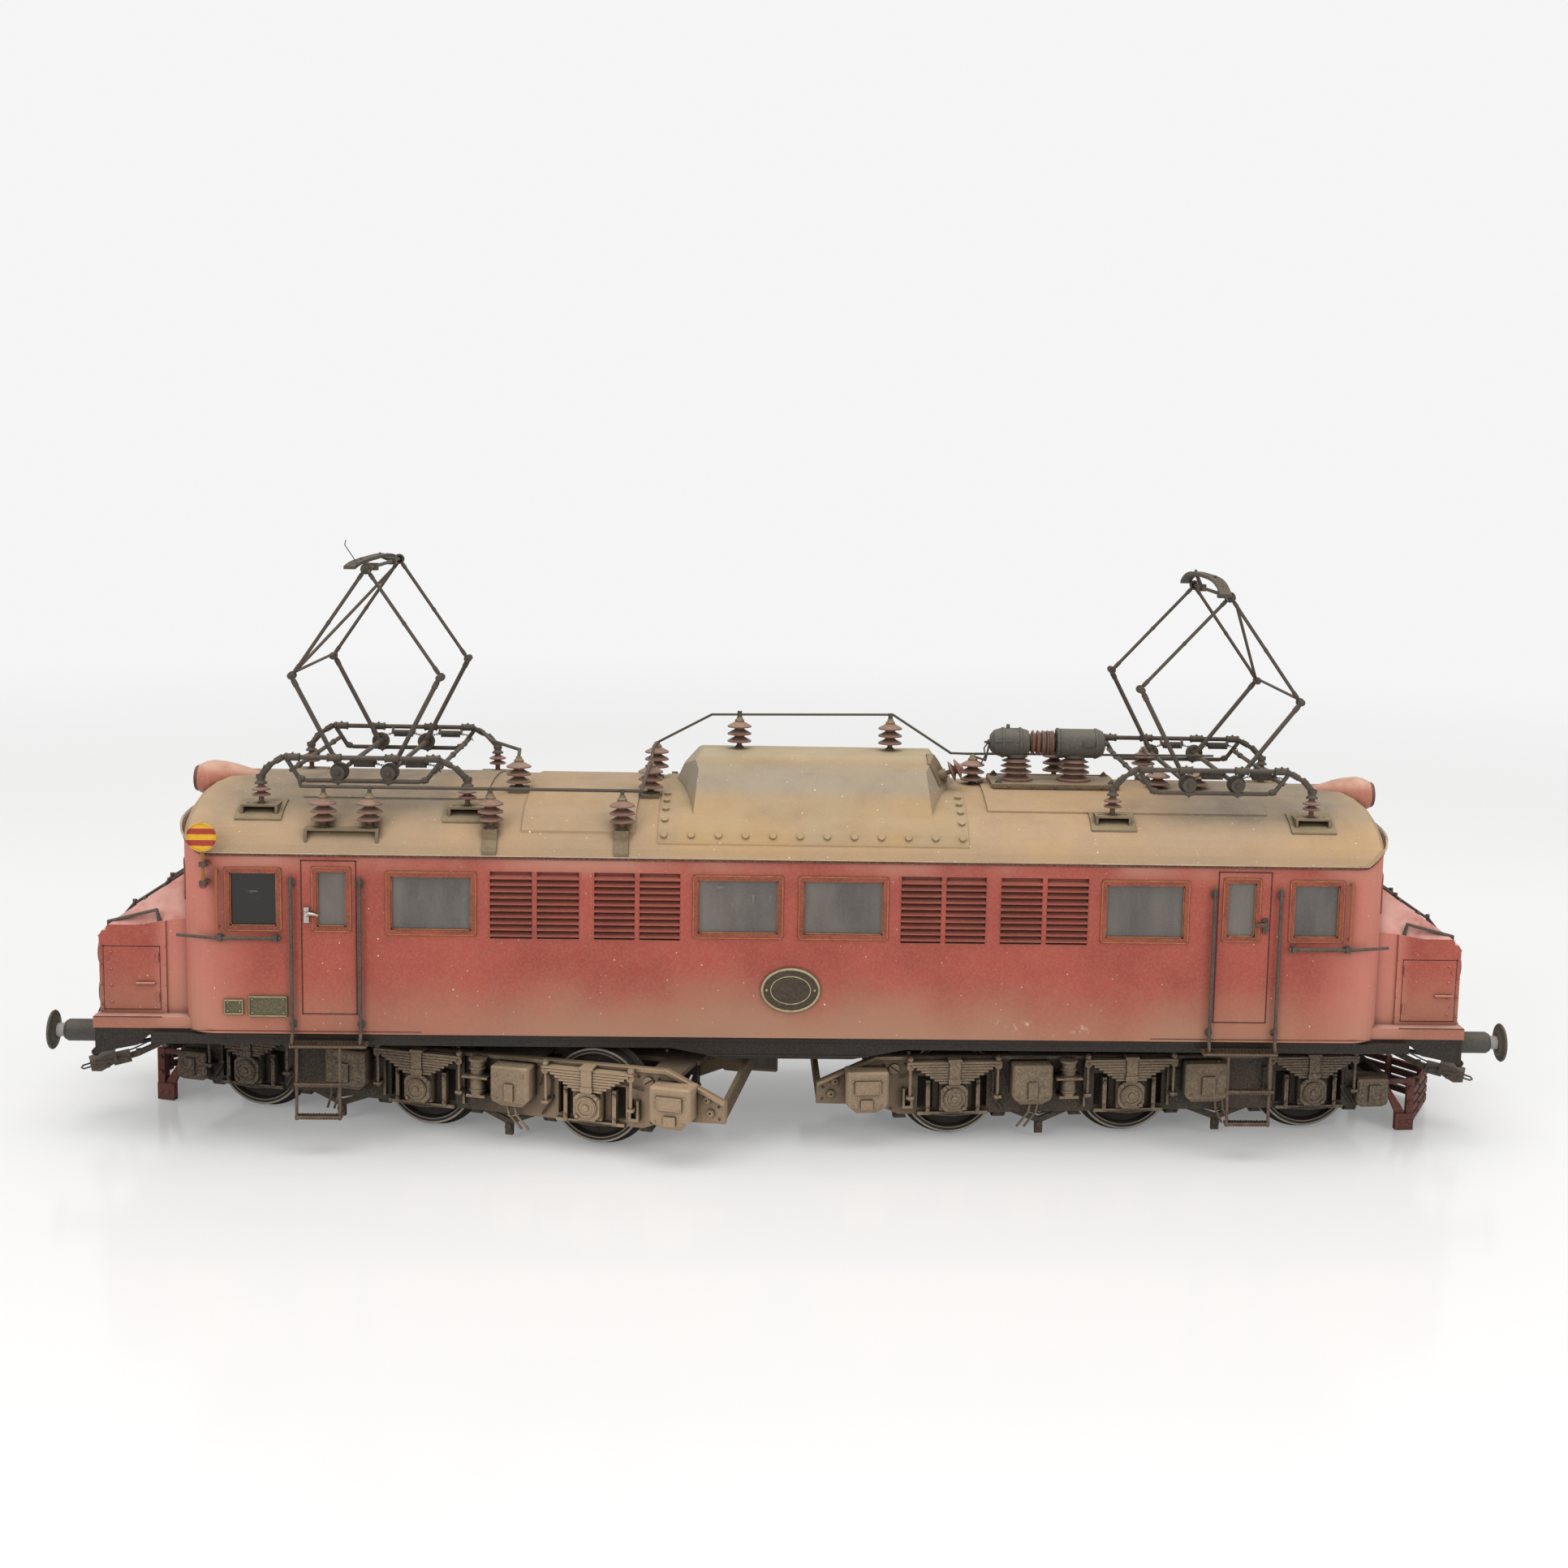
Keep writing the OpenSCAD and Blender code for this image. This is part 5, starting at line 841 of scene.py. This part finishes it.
def arm_details(end):
    """Drums and collars on the lower arms, sleeves on the upper ones, bolts on the strips."""
    middle, knees, peak = linkage(end)
    for name, way, knee in zip(("west", "east"), BOTH, knees):
        pivot = (middle + way * PIVOT[0], PIVOT[1])
        s = Shape()
        for side in BOTH:
            out = (0, side, 0)
            a, b = at(pivot, side * 23.9), at(knee, side * 23.9)
            d = (b - a).normalized()
            s.tube([a + 1.4 * d, a + 3.4 * d], 0.76, 12)
            s.tube([b - 2.8 * d, b - 1.2 * d], 0.72, 12)
            s.lathe([(0.6, 0.4), (0.5, 0.8), (0.2, 0.9)], b, out, 12)
            for r, h in ((1.85, 0.25), (1.25, 0.35)):
                s.lathe([(r, 0), (r, h), (r - 0.25, h + 0.1), (r - 0.3, 0)], at(pivot, side * 26.4), out, 24)
            for r, y, inward, size in ((1.55, 24.6, -side, 0.2), (0.75, 26.6, side, 0.16)):
                for p in around(at(pivot, side * y), (r, 0, 0), (0, 0, r), 6, 15):
                    s.knob(p, (0, inward, 0), size, 0.2, 8)
            for k in range(5):
                turn = around(at(pivot, side * (24.8 + 0.36 * k)), (2.12, 0, 0), (0, 0, 2.12), 24)
                s.tube(turn, 0.14, 5, closed=True)
        s.finish(f"{end}_{name}_drums_and_collars", "pantograph_steel", body=f"{end}_lower_{name}")
        s = Shape()
        plane = 22.5 if way == ENDS[end] else 21.2
        for side in BOTH:
            a, b = at(knee, side * plane), at(peak, side * plane)
            d = (b - a).normalized()
            s.tube([a + 1.2 * d, a + 3 * d], 0.56, 10)
            s.tube([b - 2.9 * d, b - 1.5 * d], 0.54, 10)
            s.tube([a + 15.4 * d, a + 16.2 * d], 0.53, 10)
        s.finish(f"{end}_{name}_sleeves", "pantograph_steel", body=f"{end}_upper_{name}")
    drift, rise, reach, droop = {"left": (-3.2, 1, 25.5, 0.9), "right": (-1.8, 3.6, 25, 3.4)}[end]
    x, z = peak + Vector((drift, rise))
    s = Shape()
    for side in BOTH:
        s.nut((x, side * 12, z + 0.75), UP, 0.42, 0.3)
        s.nut(at(peak, side * 24.3), (0, side, 0), 0.6, 0.4)
        for k in (0.35, 0.62, 0.85):
            s.knob((x, side * reach * k, z + 0.78 - droop * k ** 4), UP, 0.24, 0.18, 8)
        steps = [k / 12 for k in range(-12, 13)]
        s.tube([(x + side * 1.15, reach * t * 0.98, z + 0.62 - droop * t ** 4) for t in steps], 0.26, 6)
    s.finish(f"{end}_strip_fixings", "pantograph_steel", body=f"{end}_collector")


def breaker_details():
    s, ribs = Shape(), Shape()
    for x in (58.6, 73.8):
        s.lathe([(2.3, 0), (2.9, 0.3), (3, 0.9), (2.5, 1.3), (2.7, 2.2), (3.4, 3.4)], (x, 0, 95.1), UP, 24)
        for p in around((x, 0, 96), (2.55, 0, 0), (0, 2.55, 0), 6, 10):
            s.nut(p, UP, 0.32, 0.3)
        for side, way in CORNERS:
            s.box((x + way * 3.1, side * 2 - 0.5, 96.6), (x + way * 2.3, side * 2 + 0.5, 99.6))
    for x in (54.9, 59.4, 69.3, 79.2):
        s.lathe([(3.7, -0.45), (4, -0.3), (4, 0.3), (3.7, 0.45)], (x, 0, BREAKER_Z), (1, 0, 0), 28)
    for x, way in ((69.3, -1), (59.4, 1)):
        for p in around((x + 0.3 * way, 0, BREAKER_Z), (0, 3.45, 0), (0, 0, 3.45), 8, 20):
            s.knob(p, (way, 0, 0), 0.3, 0.3)
    s.box((75.6, -4.15, 98.6), (78.6, -3.4, 100.2))
    s.box((76, -4.35, 98.9), (78.2, -4.1, 99.9))
    s.box((52.6, -3.9, 99.6), (58.8, -2.6, 100.1))
    s.lathe([(0.5, 0), (0.5, 0.9), (0.3, 1.2), (0.1, 1.25)], (56.2, 0, 102.7), UP, 12)
    for x, way, tip in ((51.6, -1, 1.5), (81.7, 1, 1.4)):
        s.lathe([(0.7, -0.1), (0.7, 0.6), (0.35, 0.8), (0.3, tip)], (x, 0, BREAKER_Z), (way, 0, 0), 12)
    for x, y in product((53.4, 82.8), (-6.4, 6.4)):
        s.nut((x, y, 89.9), UP, 0.62, 0.45)
    s.finish("breaker_fittings", "breaker_grey", bevel=0.08)
    profile = [(2.3, 61.95)]
    for k in range(5):
        m = 62.75 + 1.28 * k
        profile += [(2.35, m - 0.5), (3.1, m - 0.3), (3.35, m), (3.1, m + 0.3), (2.35, m + 0.5)]
    ribs.lathe(profile + [(2.3, 68.55)], (0, 0, BREAKER_Z), (1, 0, 0), 32)
    ribs.finish("breaker_ribs", "insulator")
    s = Shape()
    s.tube([(51, 0, 98.9), (50, -0.8, 97.6), (50.2, -1.4, 95.6), (49.2, -1.8, 93.6), (47.9, -1.2, 92.9),
            (46.8, -0.4, 94.4)], 0.2, 6)
    s.finish("breaker_wire", "pantograph_steel")
    s = Shape()
    for side in BOTH:
        s.box((51.9, side * 8 - 0.35, 88.2), (84.3, side * 8 + 0.35, 89.5))
        for x in range(56, 81, 6):
            s.knob((x, side * 8.35, 88.8), (0, side, 0), 0.3, 0.2)
    s.finish("breaker_base_rails", "roof_iron", bevel=0.08)


def line_insulator_caps():
    """Caps and feet of the line's insulators (x, y, foot, stem), and bolts of the frames' feet."""
    s = Shape()
    spots = [(-113.7, -32.4, 80.6, 1.6), (-102.6, -32.4, 80.6, 1.6), (-73.4, -32.6, 80.9, 1.7),
             (-41.5, -32.6, 80.9, 1.7), (-69, -13.6, 87.9, 0.9), (-35.7, -15.6, 87.2, 1.1),
             (-35.3, 3, 88.5, 2), (-13.8, 0, 96.6, 1.4), (25.4, 0, 96.6, 1.4), (47.2, 0, 88, 0.8),
             (70.3, 12, 88.2, 1.4), (94.3, 12, 88.2, 1.6)]
    sheds = 3 * 0.62 * 3.1
    for x, y, foot, stem in spots:
        top = foot + stem + sheds + 0.3
        s.lathe([(1.2, -0.7), (1.25, -0.2), (0.85, 0.15), (0.7, 0.7), (0.3, 0.9)], (x, y, top), UP, 14)
        s.lathe([(1.25, 0), (1.25, 0.3), (0.8, 0.5)], (x, y, foot), UP, 12)
        s.nut((x, y, foot + 0.4), UP, 0.95, 0.35)
    for (middle, lifts), x, y in product(PANTOGRAPHS.values(), (-24.95, 25.2), (-26.5, 26.5)):
        s.nut((middle + x, y, 85.2), UP, 0.95, 0.4)
        for off in (-3.3, 3.3):
            s.knob((middle + x + off, y, 85.2), UP, 0.35, 0.25)
    s.finish("insulator_hardware", "roof_iron")


# ---------------------------------------------------------------- details below the body
def ladder_details():
    """Expanded metal in the treads and the sill, each two zigzag wires, with their rims and bolts."""
    s = Shape()

    def wires(first, run, count, place, r):
        """Two wires along x; place gives y and z for an odd or even corner and step."""
        for shift in (0, 1):
            points = []
            for i in range(count + 1):
                y, z = place((i + shift) % 2, i % 2)
                points.append((end * (first + run * i / count), side * y, z))
            s.tube(points, r, 5)

    for side, end in CORNERS:
        for z in (18.15, 9.95):
            wires(108.9, 11, 16, lambda odd, step: (39.3 - 1.9 * odd, z + 0.22 - 0.1 * step), 0.17)
            wires(108.9, 11, 16, lambda odd, step: (39.42, z - 0.02 - 0.6 * odd), 0.16)
            for y in (37.45, 39.35):
                s.tube([(end * 108.8, side * y, z), (end * 120, side * y, z)], 0.2, 6)
        wires(102.9, 18.5, 22, lambda odd, step: (38.3 - 2.8 * odd, 27.75 - 0.1 * step), 0.17)
        s.tube([(end * 102.9, side * 38.45, 27.2), (end * 121.4, side * 38.45, 27.2)], 0.3, 8)
        for x, z in product((109.2, 119.6), (17.7, 9.5)):
            s.knob((end * x, side * 39, z), (0, side, 0), 0.5, 0.35)
    s.finish("step_mesh", "rail_paint", "step_rust")


def underframe_details():
    s = Shape()
    for side in BOTH:
        out = (0, side, 0)
        for (y, z, x), way in product(((30.6, 27.4, 92), (29.4, 26.9, 60)), BOTH):
            pipe = ((x + 55, y, z + 0.5), (x + 40, y, z), (40, y, z), (20, y - 2, z - 1))
            s.tube([(way * u, side * v, w) for u, v, w in pipe], 0.42, 8)
        for x in range(-150, 151, 12):
            s.knob((x, side * 33.6, 27.3 if abs(x) > 30 else 25.6), out, 0.4, 0.25)
        for x, way in product((62, 90, 134), BOTH):
            s.box((way * x - 1.2, side * 29, 26.4), (way * x + 1.2, side * 31.9, 28.1))
        s.tube([(-20, side * 33.75, 24.5), (20, side * 33.75, 24.5)], 0.25, 6)
    for side, end in CORNERS:
        pipe = ((168, 28.6, 25.6), (162, 27.6, 24.6), (156, 26, 25.4), (150, 25.4, 27.6))
        s.tube([(end * x, side * y, z) for x, y, z in pipe], 0.55, 8)
        for x, z in ((164.5, 24.6), (160, 26.4), (156, 28.4)):
            s.knob((end * x, side * 31, z), (0, side, 0), 0.35, 0.25)
        for y, z in product((6, 12, 26, 29.5), (24.2, 27.9)):
            s.knob((end * 170.4, side * y, z), (end, 0, 0), 0.4, 0.3)
        for p in around((end * 171.2, side * BUFFER[1], BUFFER[2]), (0, 3.2, 0), (0, 0, 3.2), 4, 45):
            s.nut(p, (end, 0, 0), 0.42, 0.3)
    for end in BOTH:
        s.box((end * 170.4, -3.2, 24.2), (end * 171.6, 3.2, 27.6))
    s.finish("underframe_fittings", "underframe_black", bevel=0.08)


def hose_details():
    """Cocks, end couplings and the hoses' ribs, which follow the hoses' bend (z, x)."""
    s = Shape()
    top, low = (28, 175.1), (22.5, 173.9)
    for side, end in CORNERS:
        x, y = end * 171.9, side * 12.6
        s.lathe([(1, -0.4), (1, 0.4), (0.75, 0.6), (0.7, 1.3)], (x, y, 29.6), (end * 0.9, 0, 0.35), 14)
        s.box((x, y - 0.3, 30.4), (x + end * 1.4, y + 0.3, 31.4))
        head = [(0.85, -1.4), (1, -0.6), (1, 0.2), (0.7, 0.5), (0.35, 0.6)]
        s.lathe(head, (end * 176.6, side * 13, 17.4), (end * 0.63, 0, -0.77), 14)
        for k in range(11):
            z = 27 - k * 0.75
            a, b = (top, low) if z >= low[0] else (low, (19.4, 175.1))
            x = a[1] + (b[1] - a[1]) * (a[0] - z) / (a[0] - b[0])
            s.lathe([(0.62, -0.2), (0.76, 0), (0.62, 0.2)], (end * x, side * 12.65, z), UP, 10)
    s.finish("hose_fittings", "underframe_black")


def buffer_details():
    x, y, z = BUFFER
    for (end, way), (side, far) in product(ENDS.items(), SIDES.items()):
        s = Shape()
        place = (way * x, far * y, z)
        s.lathe([(4.75, -0.85), (4.95, -0.6), (4.8, -0.3)], place, (way, 0, 0), 40)
        s.lathe([(1.72, -1.62), (2.1, -1.58), (2.5, -1.45), (3.3, -1.2)], place, (way, 0, 0), 28)
        s.finish(f"buffer_rim_{end}_{side}", "buffer_grey", "buffer_head", body=f"buffer_{end}_{side}")


def coupler_details(end):
    s = Shape(coupler_place(end))
    s.box((19.6, -1.8, 14.1), (22.4, 1.8, 15.1))
    s.box((23.4, -2.6, 14.2), (27.4, 2.6, 14.9))
    s.box((16.4, -1, 14.9), (17.6, 1, 16.3))
    s.lathe([(0.5, -2.8), (0.5, 2.8)], (24.6, 0, 13.4), (0, 1, 0), 12)
    s.lathe([(0.4, -2.7), (0.4, 2.7)], (27.6, 0, 13.6), (0, 1, 0), 12)
    hook = [(28.6, -1.5, 13.4), (30.4, -1.5, 13), (30.9, 0, 12.9), (30.4, 1.5, 13), (28.6, 1.5, 13.4)]
    s.tube(hook, 0.26, 6)
    s.tube([(8, 0.9, 19.9), (13, 1, 18.4), (18, 0.8, 16.4), (21, 0.5, 15.6)], 0.22, 6)
    s.tube([(5.5, -0.9, 20.3), (5.5, 0.9, 20.3)], 0.35, 8)
    s.lathe([(1.5, 0), (1.5, 0.3), (0.9, 0.5), (0.5, 0.6)], (0, 0, 20.8), UP, 14)
    s.finish(end + "_coupler_parts", "coupler_iron", bevel=0.1, body="coupler_" + end)


def wheel_details(end):
    for name, u in AXLES.items():
        tyres, bolts = Shape(bogie_place(end)), Shape(bogie_place(end))
        for side in BOTH:
            centre, out = (u, 0, AXLE_Z), (0, side, 0)
            tyre = [(11.5, 18.9), (11.6, 19.16), (12, 19.18), (12.12, 19.05), (12.1, 18.9)]
            lip = [(10.75, 18.9), (10.8, 19.12), (10.95, 19.12), (11, 18.9)]
            flange = [(13.1, 14.62), (13.39, 14.8), (13.39, 15.2), (13.1, 15.5)]
            for profile, sides in ((tyre, 56), (lip, 48), (flange, 56)):
                tyres.lathe(profile, centre, out, sides, True)
            for p in around((u, side * 17.35, AXLE_Z), (8.6, 0, 0), (0, 0, 8.6), 8):
                bolts.knob(p, out, 0.45, 0.3, 8)
        tyres.finish(f"tyres_{end}_{name}", "wheel_steel", "tyre_steel", body=f"wheelset_{end}_{name}")
        bolts.finish(f"wheel_bolts_{end}_{name}", "wheel_steel", body=f"wheelset_{end}_{name}")


def axle_box_details(s, pipes, u, side):
    """Spring bolts, cover and lid of one axle box, and the pipe under it."""
    out = (0, side, 0)
    for way in BOTH:
        x, y = u + way * 11.2, side * 24.9
        s.nut((x, y, 22.7), UP, 0.62, 0.4)
        s.nut((x, y, 12.3), (0, 0, -1), 0.55, 0.4)
        s.lathe([(0.95, -0.55), (0.95, 0.55)], (x, y, 20.6), (0, 1, 0), 12)
        for z in (9.1, 15.4):
            s.nut((u + way * 6.4, side * 23.9, z), out, 0.45, 0.3)
    s.box((u - 1.6, side * 26.2 - 0.15, 16.4), (u + 1.6, side * 26.2 + 0.15, 17.6))
    s.box((u - 1.75, side * 24.85 - 1.5, 21.9), (u + 1.75, side * 24.85 + 1.5, 22.6))
    for p in around((u, side * 26.5, 12.5), (2.15, 0, 0), (0, 0, 2.15), 6, 30):
        s.knob(p, out, 0.3, 0.28, 8)
    s.lathe([(2.3, 0), (2.35, 0.18), (2, 0.26), (1.95, 0)], (u, side * 26.45, 12.5), out, 24)
    pipes.tube([(u - 8.6, side * 23.2, 7.9), (u, side * 23.6, 7.3), (u + 8.6, side * 23.2, 7.9)], 0.32, 6)


def side_box_details(s, box, side):
    """Bolts on the top and the front of a box on the bogie's side, and its rear tube."""
    a, b, c, d, y = box
    for u in (a + 2, b - 2):
        s.knob((u, side * (y - 2.2), d - 0.05), UP, 0.42, 0.3)
    s.tube([(a + 0.2, side * (y - 2.4), d - 1.6), (a + 0.2, side * 22.6, d - 1.6)], 0.25, 6)
    for u, z in product((a + 1.6, b - 1.6), (c + 2.3, d - 2.2)):
        s.knob((u, side * y, z), (0, side, 0), 0.36, 0.26, 8)


def bogie_details(end):
    s, light = Shape(bogie_place(end)), Shape(bogie_place(end))
    for side in BOTH:
        out = (0, side, 0)
        for u in AXLES.values():
            axle_box_details(light, s, u, side)
        for box in ((-31.8, -21.6, 10.8, 21.2, 27.9), (13, 24, 10.6, 20.8, 27.4),
                    (-74, -63.4, 9.2, 20.2, 28.1)):
            side_box_details(light, box, side)
        for i in range(22):
            s.knob((-64 + i * 5.3, side * 22.3, 20.4276 - i * 0.05936), out, 0.34, 0.25, 8)
        for u in (-36, 35, 56):
            s.tube([(u, side * 22.7, 18.8), (u, side * 23.1, 12), (u + 2.5, side * 22.8, 8.5)], 0.3, 6)
            for z in (18.2, 13):
                s.box((u - 0.55, side * 22.2, z - 0.3), (u + 0.55, side * 23.2, z + 0.3))
        for pipe in (((-60, 22.75, 17.2), (-54, 23, 18.6), (-34, 23, 18.9), (-33, 23.2, 16)),
                     ((12.6, 22.7, 17.8), (6, 23, 19.2), (-10, 23, 19.4), (-12.4, 23.2, 17.4))):
            s.tube([(u, side * v, w) for u, v, w in pipe], 0.28, 6)
        lid = ((-71.6, 15), (-65.8, 15), (-65.8, 17.6), (-71.6, 17.6))
        light.tube([at(p, side * 28.38) for p in lid], 0.3, 6, closed=True)
        u, y = -17.1, side * 24.9
        for z in (13.6, 19.2):
            light.lathe([(2.05, 0), (2.2, 0.25), (2.05, 0.5)], (u, y, z), UP, 20)
        for p in around((u, y, 21.8), (1.5, 0, 0), (0, side * 1.5, 0), 5):
            light.nut(p, UP, 0.3, 0.25)
        for p in ((-77.4, 13.2), (-76.4, 16.4)):
            light.lathe([(0.75, 0), (0.75, 0.2), (0.35, 0.25), (0.35, -0.2)], at(p, side * 22.9), out, 16)
        for p in ((-79.6, 11.8), (-79.4, 14.8), (-70, 11), (-62, 9)):
            s.knob(at(p, side * 22.2), out, 0.36, 0.25, 8)
    s.finish(end + "_bogie_pipes", "bogie_grey", body=end + "_bogie")
    light.finish(end + "_bogie_fixings", "bogie_dusty", "bogie_" + end, body=end + "_bogie")


def brake_details(end):
    s = Shape(bogie_place(end))
    for side in BOTH:
        out = (0, side, 0)
        for u, way in product(AXLES.values(), BOTH):
            s.nut((u + way * 13.9, side * 18, 5.8), out, 0.8, 0.5)
            s.knob((u + way * 14.1, side * 17.9, 12), out, 0.6, 0.4, 8)
        for a, b in ((12.4, 34), (-33.4, -13.4)):
            middle = (a + b) / 2
            s.lathe([(1, 0), (1, 0.5), (0.5, 0.8)], (middle, side * 20.5, 3.2), out, 12)
            for u in (a, b):
                s.lathe([(0.9, 0), (0.9, 0.6), (0.5, 0.9)], (u, side * 20.3, 8.8), out, 12)
                s.box((u - 0.9, side * 20.1, 7.6), (u + 0.9, side * 21.2, 8.5))
            s.tube([(a + 1, side * 20.9, 8.6), (middle, side * 21.1, 6.6), (b - 1, side * 20.9, 8.6)], 0.3, 6)
    s.finish(end + "_brake_pins", "bogie_grey", bevel=0.08, body=end + "_bogie")


def plow_details(end):
    s = Shape(bogie_place(end))
    for side in BOTH:
        for u, z, r in ((75.4, 2.4, 0.55), (75.4, 7.6, 0.55), (75.4, 11.6, 0.55), (73.4, 2.4, 0.5)):
            s.knob((u, side * 20.9, z), (0, side, 0), r, 0.35)
        for i, t in product(range(4), (0.12, 0.44, 0.8)):
            place = (76.15 + 12.8 * t, side * 20.4 * (1 - t), 2.05 + 2.4 * i)
            s.knob(place, (0.85, side * 0.53, 0), 0.34, 0.3, 8)
    s.finish(end + "_plow_rivets", "plow_red", body=end + "_bogie")


# ---------------------------------------------------------------- stage
FLOOR_TONE = (0.915, 0.915, 0.915, 1)
WHITE = (1, 1, 1, 1)
WORLD_POWER = 0.62
MIDDLE = Vector((0, 0, 0.05))


def make_floor():
    """A pale floor that far from the model is seen in the tone of the backdrop, so that it has
    no horizon."""
    bpy.ops.mesh.primitive_plane_add(size=1)
    floor = bpy.context.active_object
    floor.name = "floor"
    floor.scale = (12, 12, 1)
    floor.location = (0, 0, -0.00005)
    m = Paint("floor_white")
    m.finish(m.mix(m.ramp(m.noise(40), 0.3, 0.7), rgb("F1F1F0"), rgb("F4F4F3")), 0.15, 0.0, 0.3)
    place = m.node("NewGeometry").outputs["Position"]
    far = m.node("VectorMath", {0: place}, operation="LENGTH").outputs["Value"]
    seen = m.node("LightPath").outputs["Is Camera Ray"]
    share = m.times(m.math("MAXIMUM", m.ramp(far, 0.42, 1.15), 0.2), seen)
    glow = m.node("Emission", {0: FLOOR_TONE})
    both = m.node("MixShader", {0: share, 1: m.shader.outputs[0], 2: glow.outputs[0]})
    m.put(m.tree.nodes["Material Output"].inputs["Surface"], both.outputs[0])
    floor.data.materials.append(m.mat)


def make_world():
    """White light all round, seen by the camera in the tone of the floor."""
    world = bpy.data.worlds.new("studio")
    scene.world = world
    world.use_nodes = True
    world.node_tree.nodes.clear()
    t = Tree(world.node_tree)
    seen = t.node("LightPath").outputs["Is Camera Ray"]
    light = t.node("Background", {0: WHITE, 1: WORLD_POWER}).outputs[0]
    backdrop = t.node("Background", {0: FLOOR_TONE}).outputs[0]
    mix = t.node("MixShader", {0: seen, 1: light, 2: backdrop})
    t.node("OutputWorld", {0: mix.outputs[0]})


def soft_light(name, place, size, power):
    """An area light turned to the middle of the model."""
    data = bpy.data.lights.new(name, "AREA")
    data.shape = "RECTANGLE"
    data.size, data.size_y = size
    data.energy = power
    ob = bpy.data.objects.new(name, data)
    scene.collection.objects.link(ob)
    ob.location = place
    ob.rotation_euler = (MIDDLE - Vector(place)).to_track_quat("-Z", "Y").to_euler()


for details in (wall_seams, eave_shadow_strip, rivets_and_fixings, lamp_rims, window_beads, door_handles,
                rail_fixings, badge_and_plates, disc_details, breaker_details, line_insulator_caps,
                ladder_details, underframe_details, hose_details, buffer_details):
    details()
for end in ENDS:
    for details in (pantograph_frame_details, arm_details, coupler_details, wheel_details, bogie_details,
                    brake_details, plow_details):
        details(end)

SOFT = ["cab_doors", "locker_doors", "roof_hatches", "insulator_feet", "breaker", "buffer_beams",
        "window_frames"]
for kind, end in product(("coupler_", "side_gear_", "brake_rigging_", "plow_", "bogie_frame_"), ENDS):
    SOFT.append(kind + end)
for name in SOFT:
    soften(NODES[name], 0.13)
for name in ("noses", "roof_hood"):
    soften(NODES[name], 0.3)

make_floor()
make_world()
soft_light("overhead", (0.1, -0.55, 3.0), (3.6, 2.6), 53)
soft_light("front_left", (-2.2, -2.8, 1.7), (2.0, 1.6), 35)
soft_light("front_right", (2.4, -2.4, 1.4), (1.6, 1.4), 25)
scene.view_settings.view_transform = "Standard"
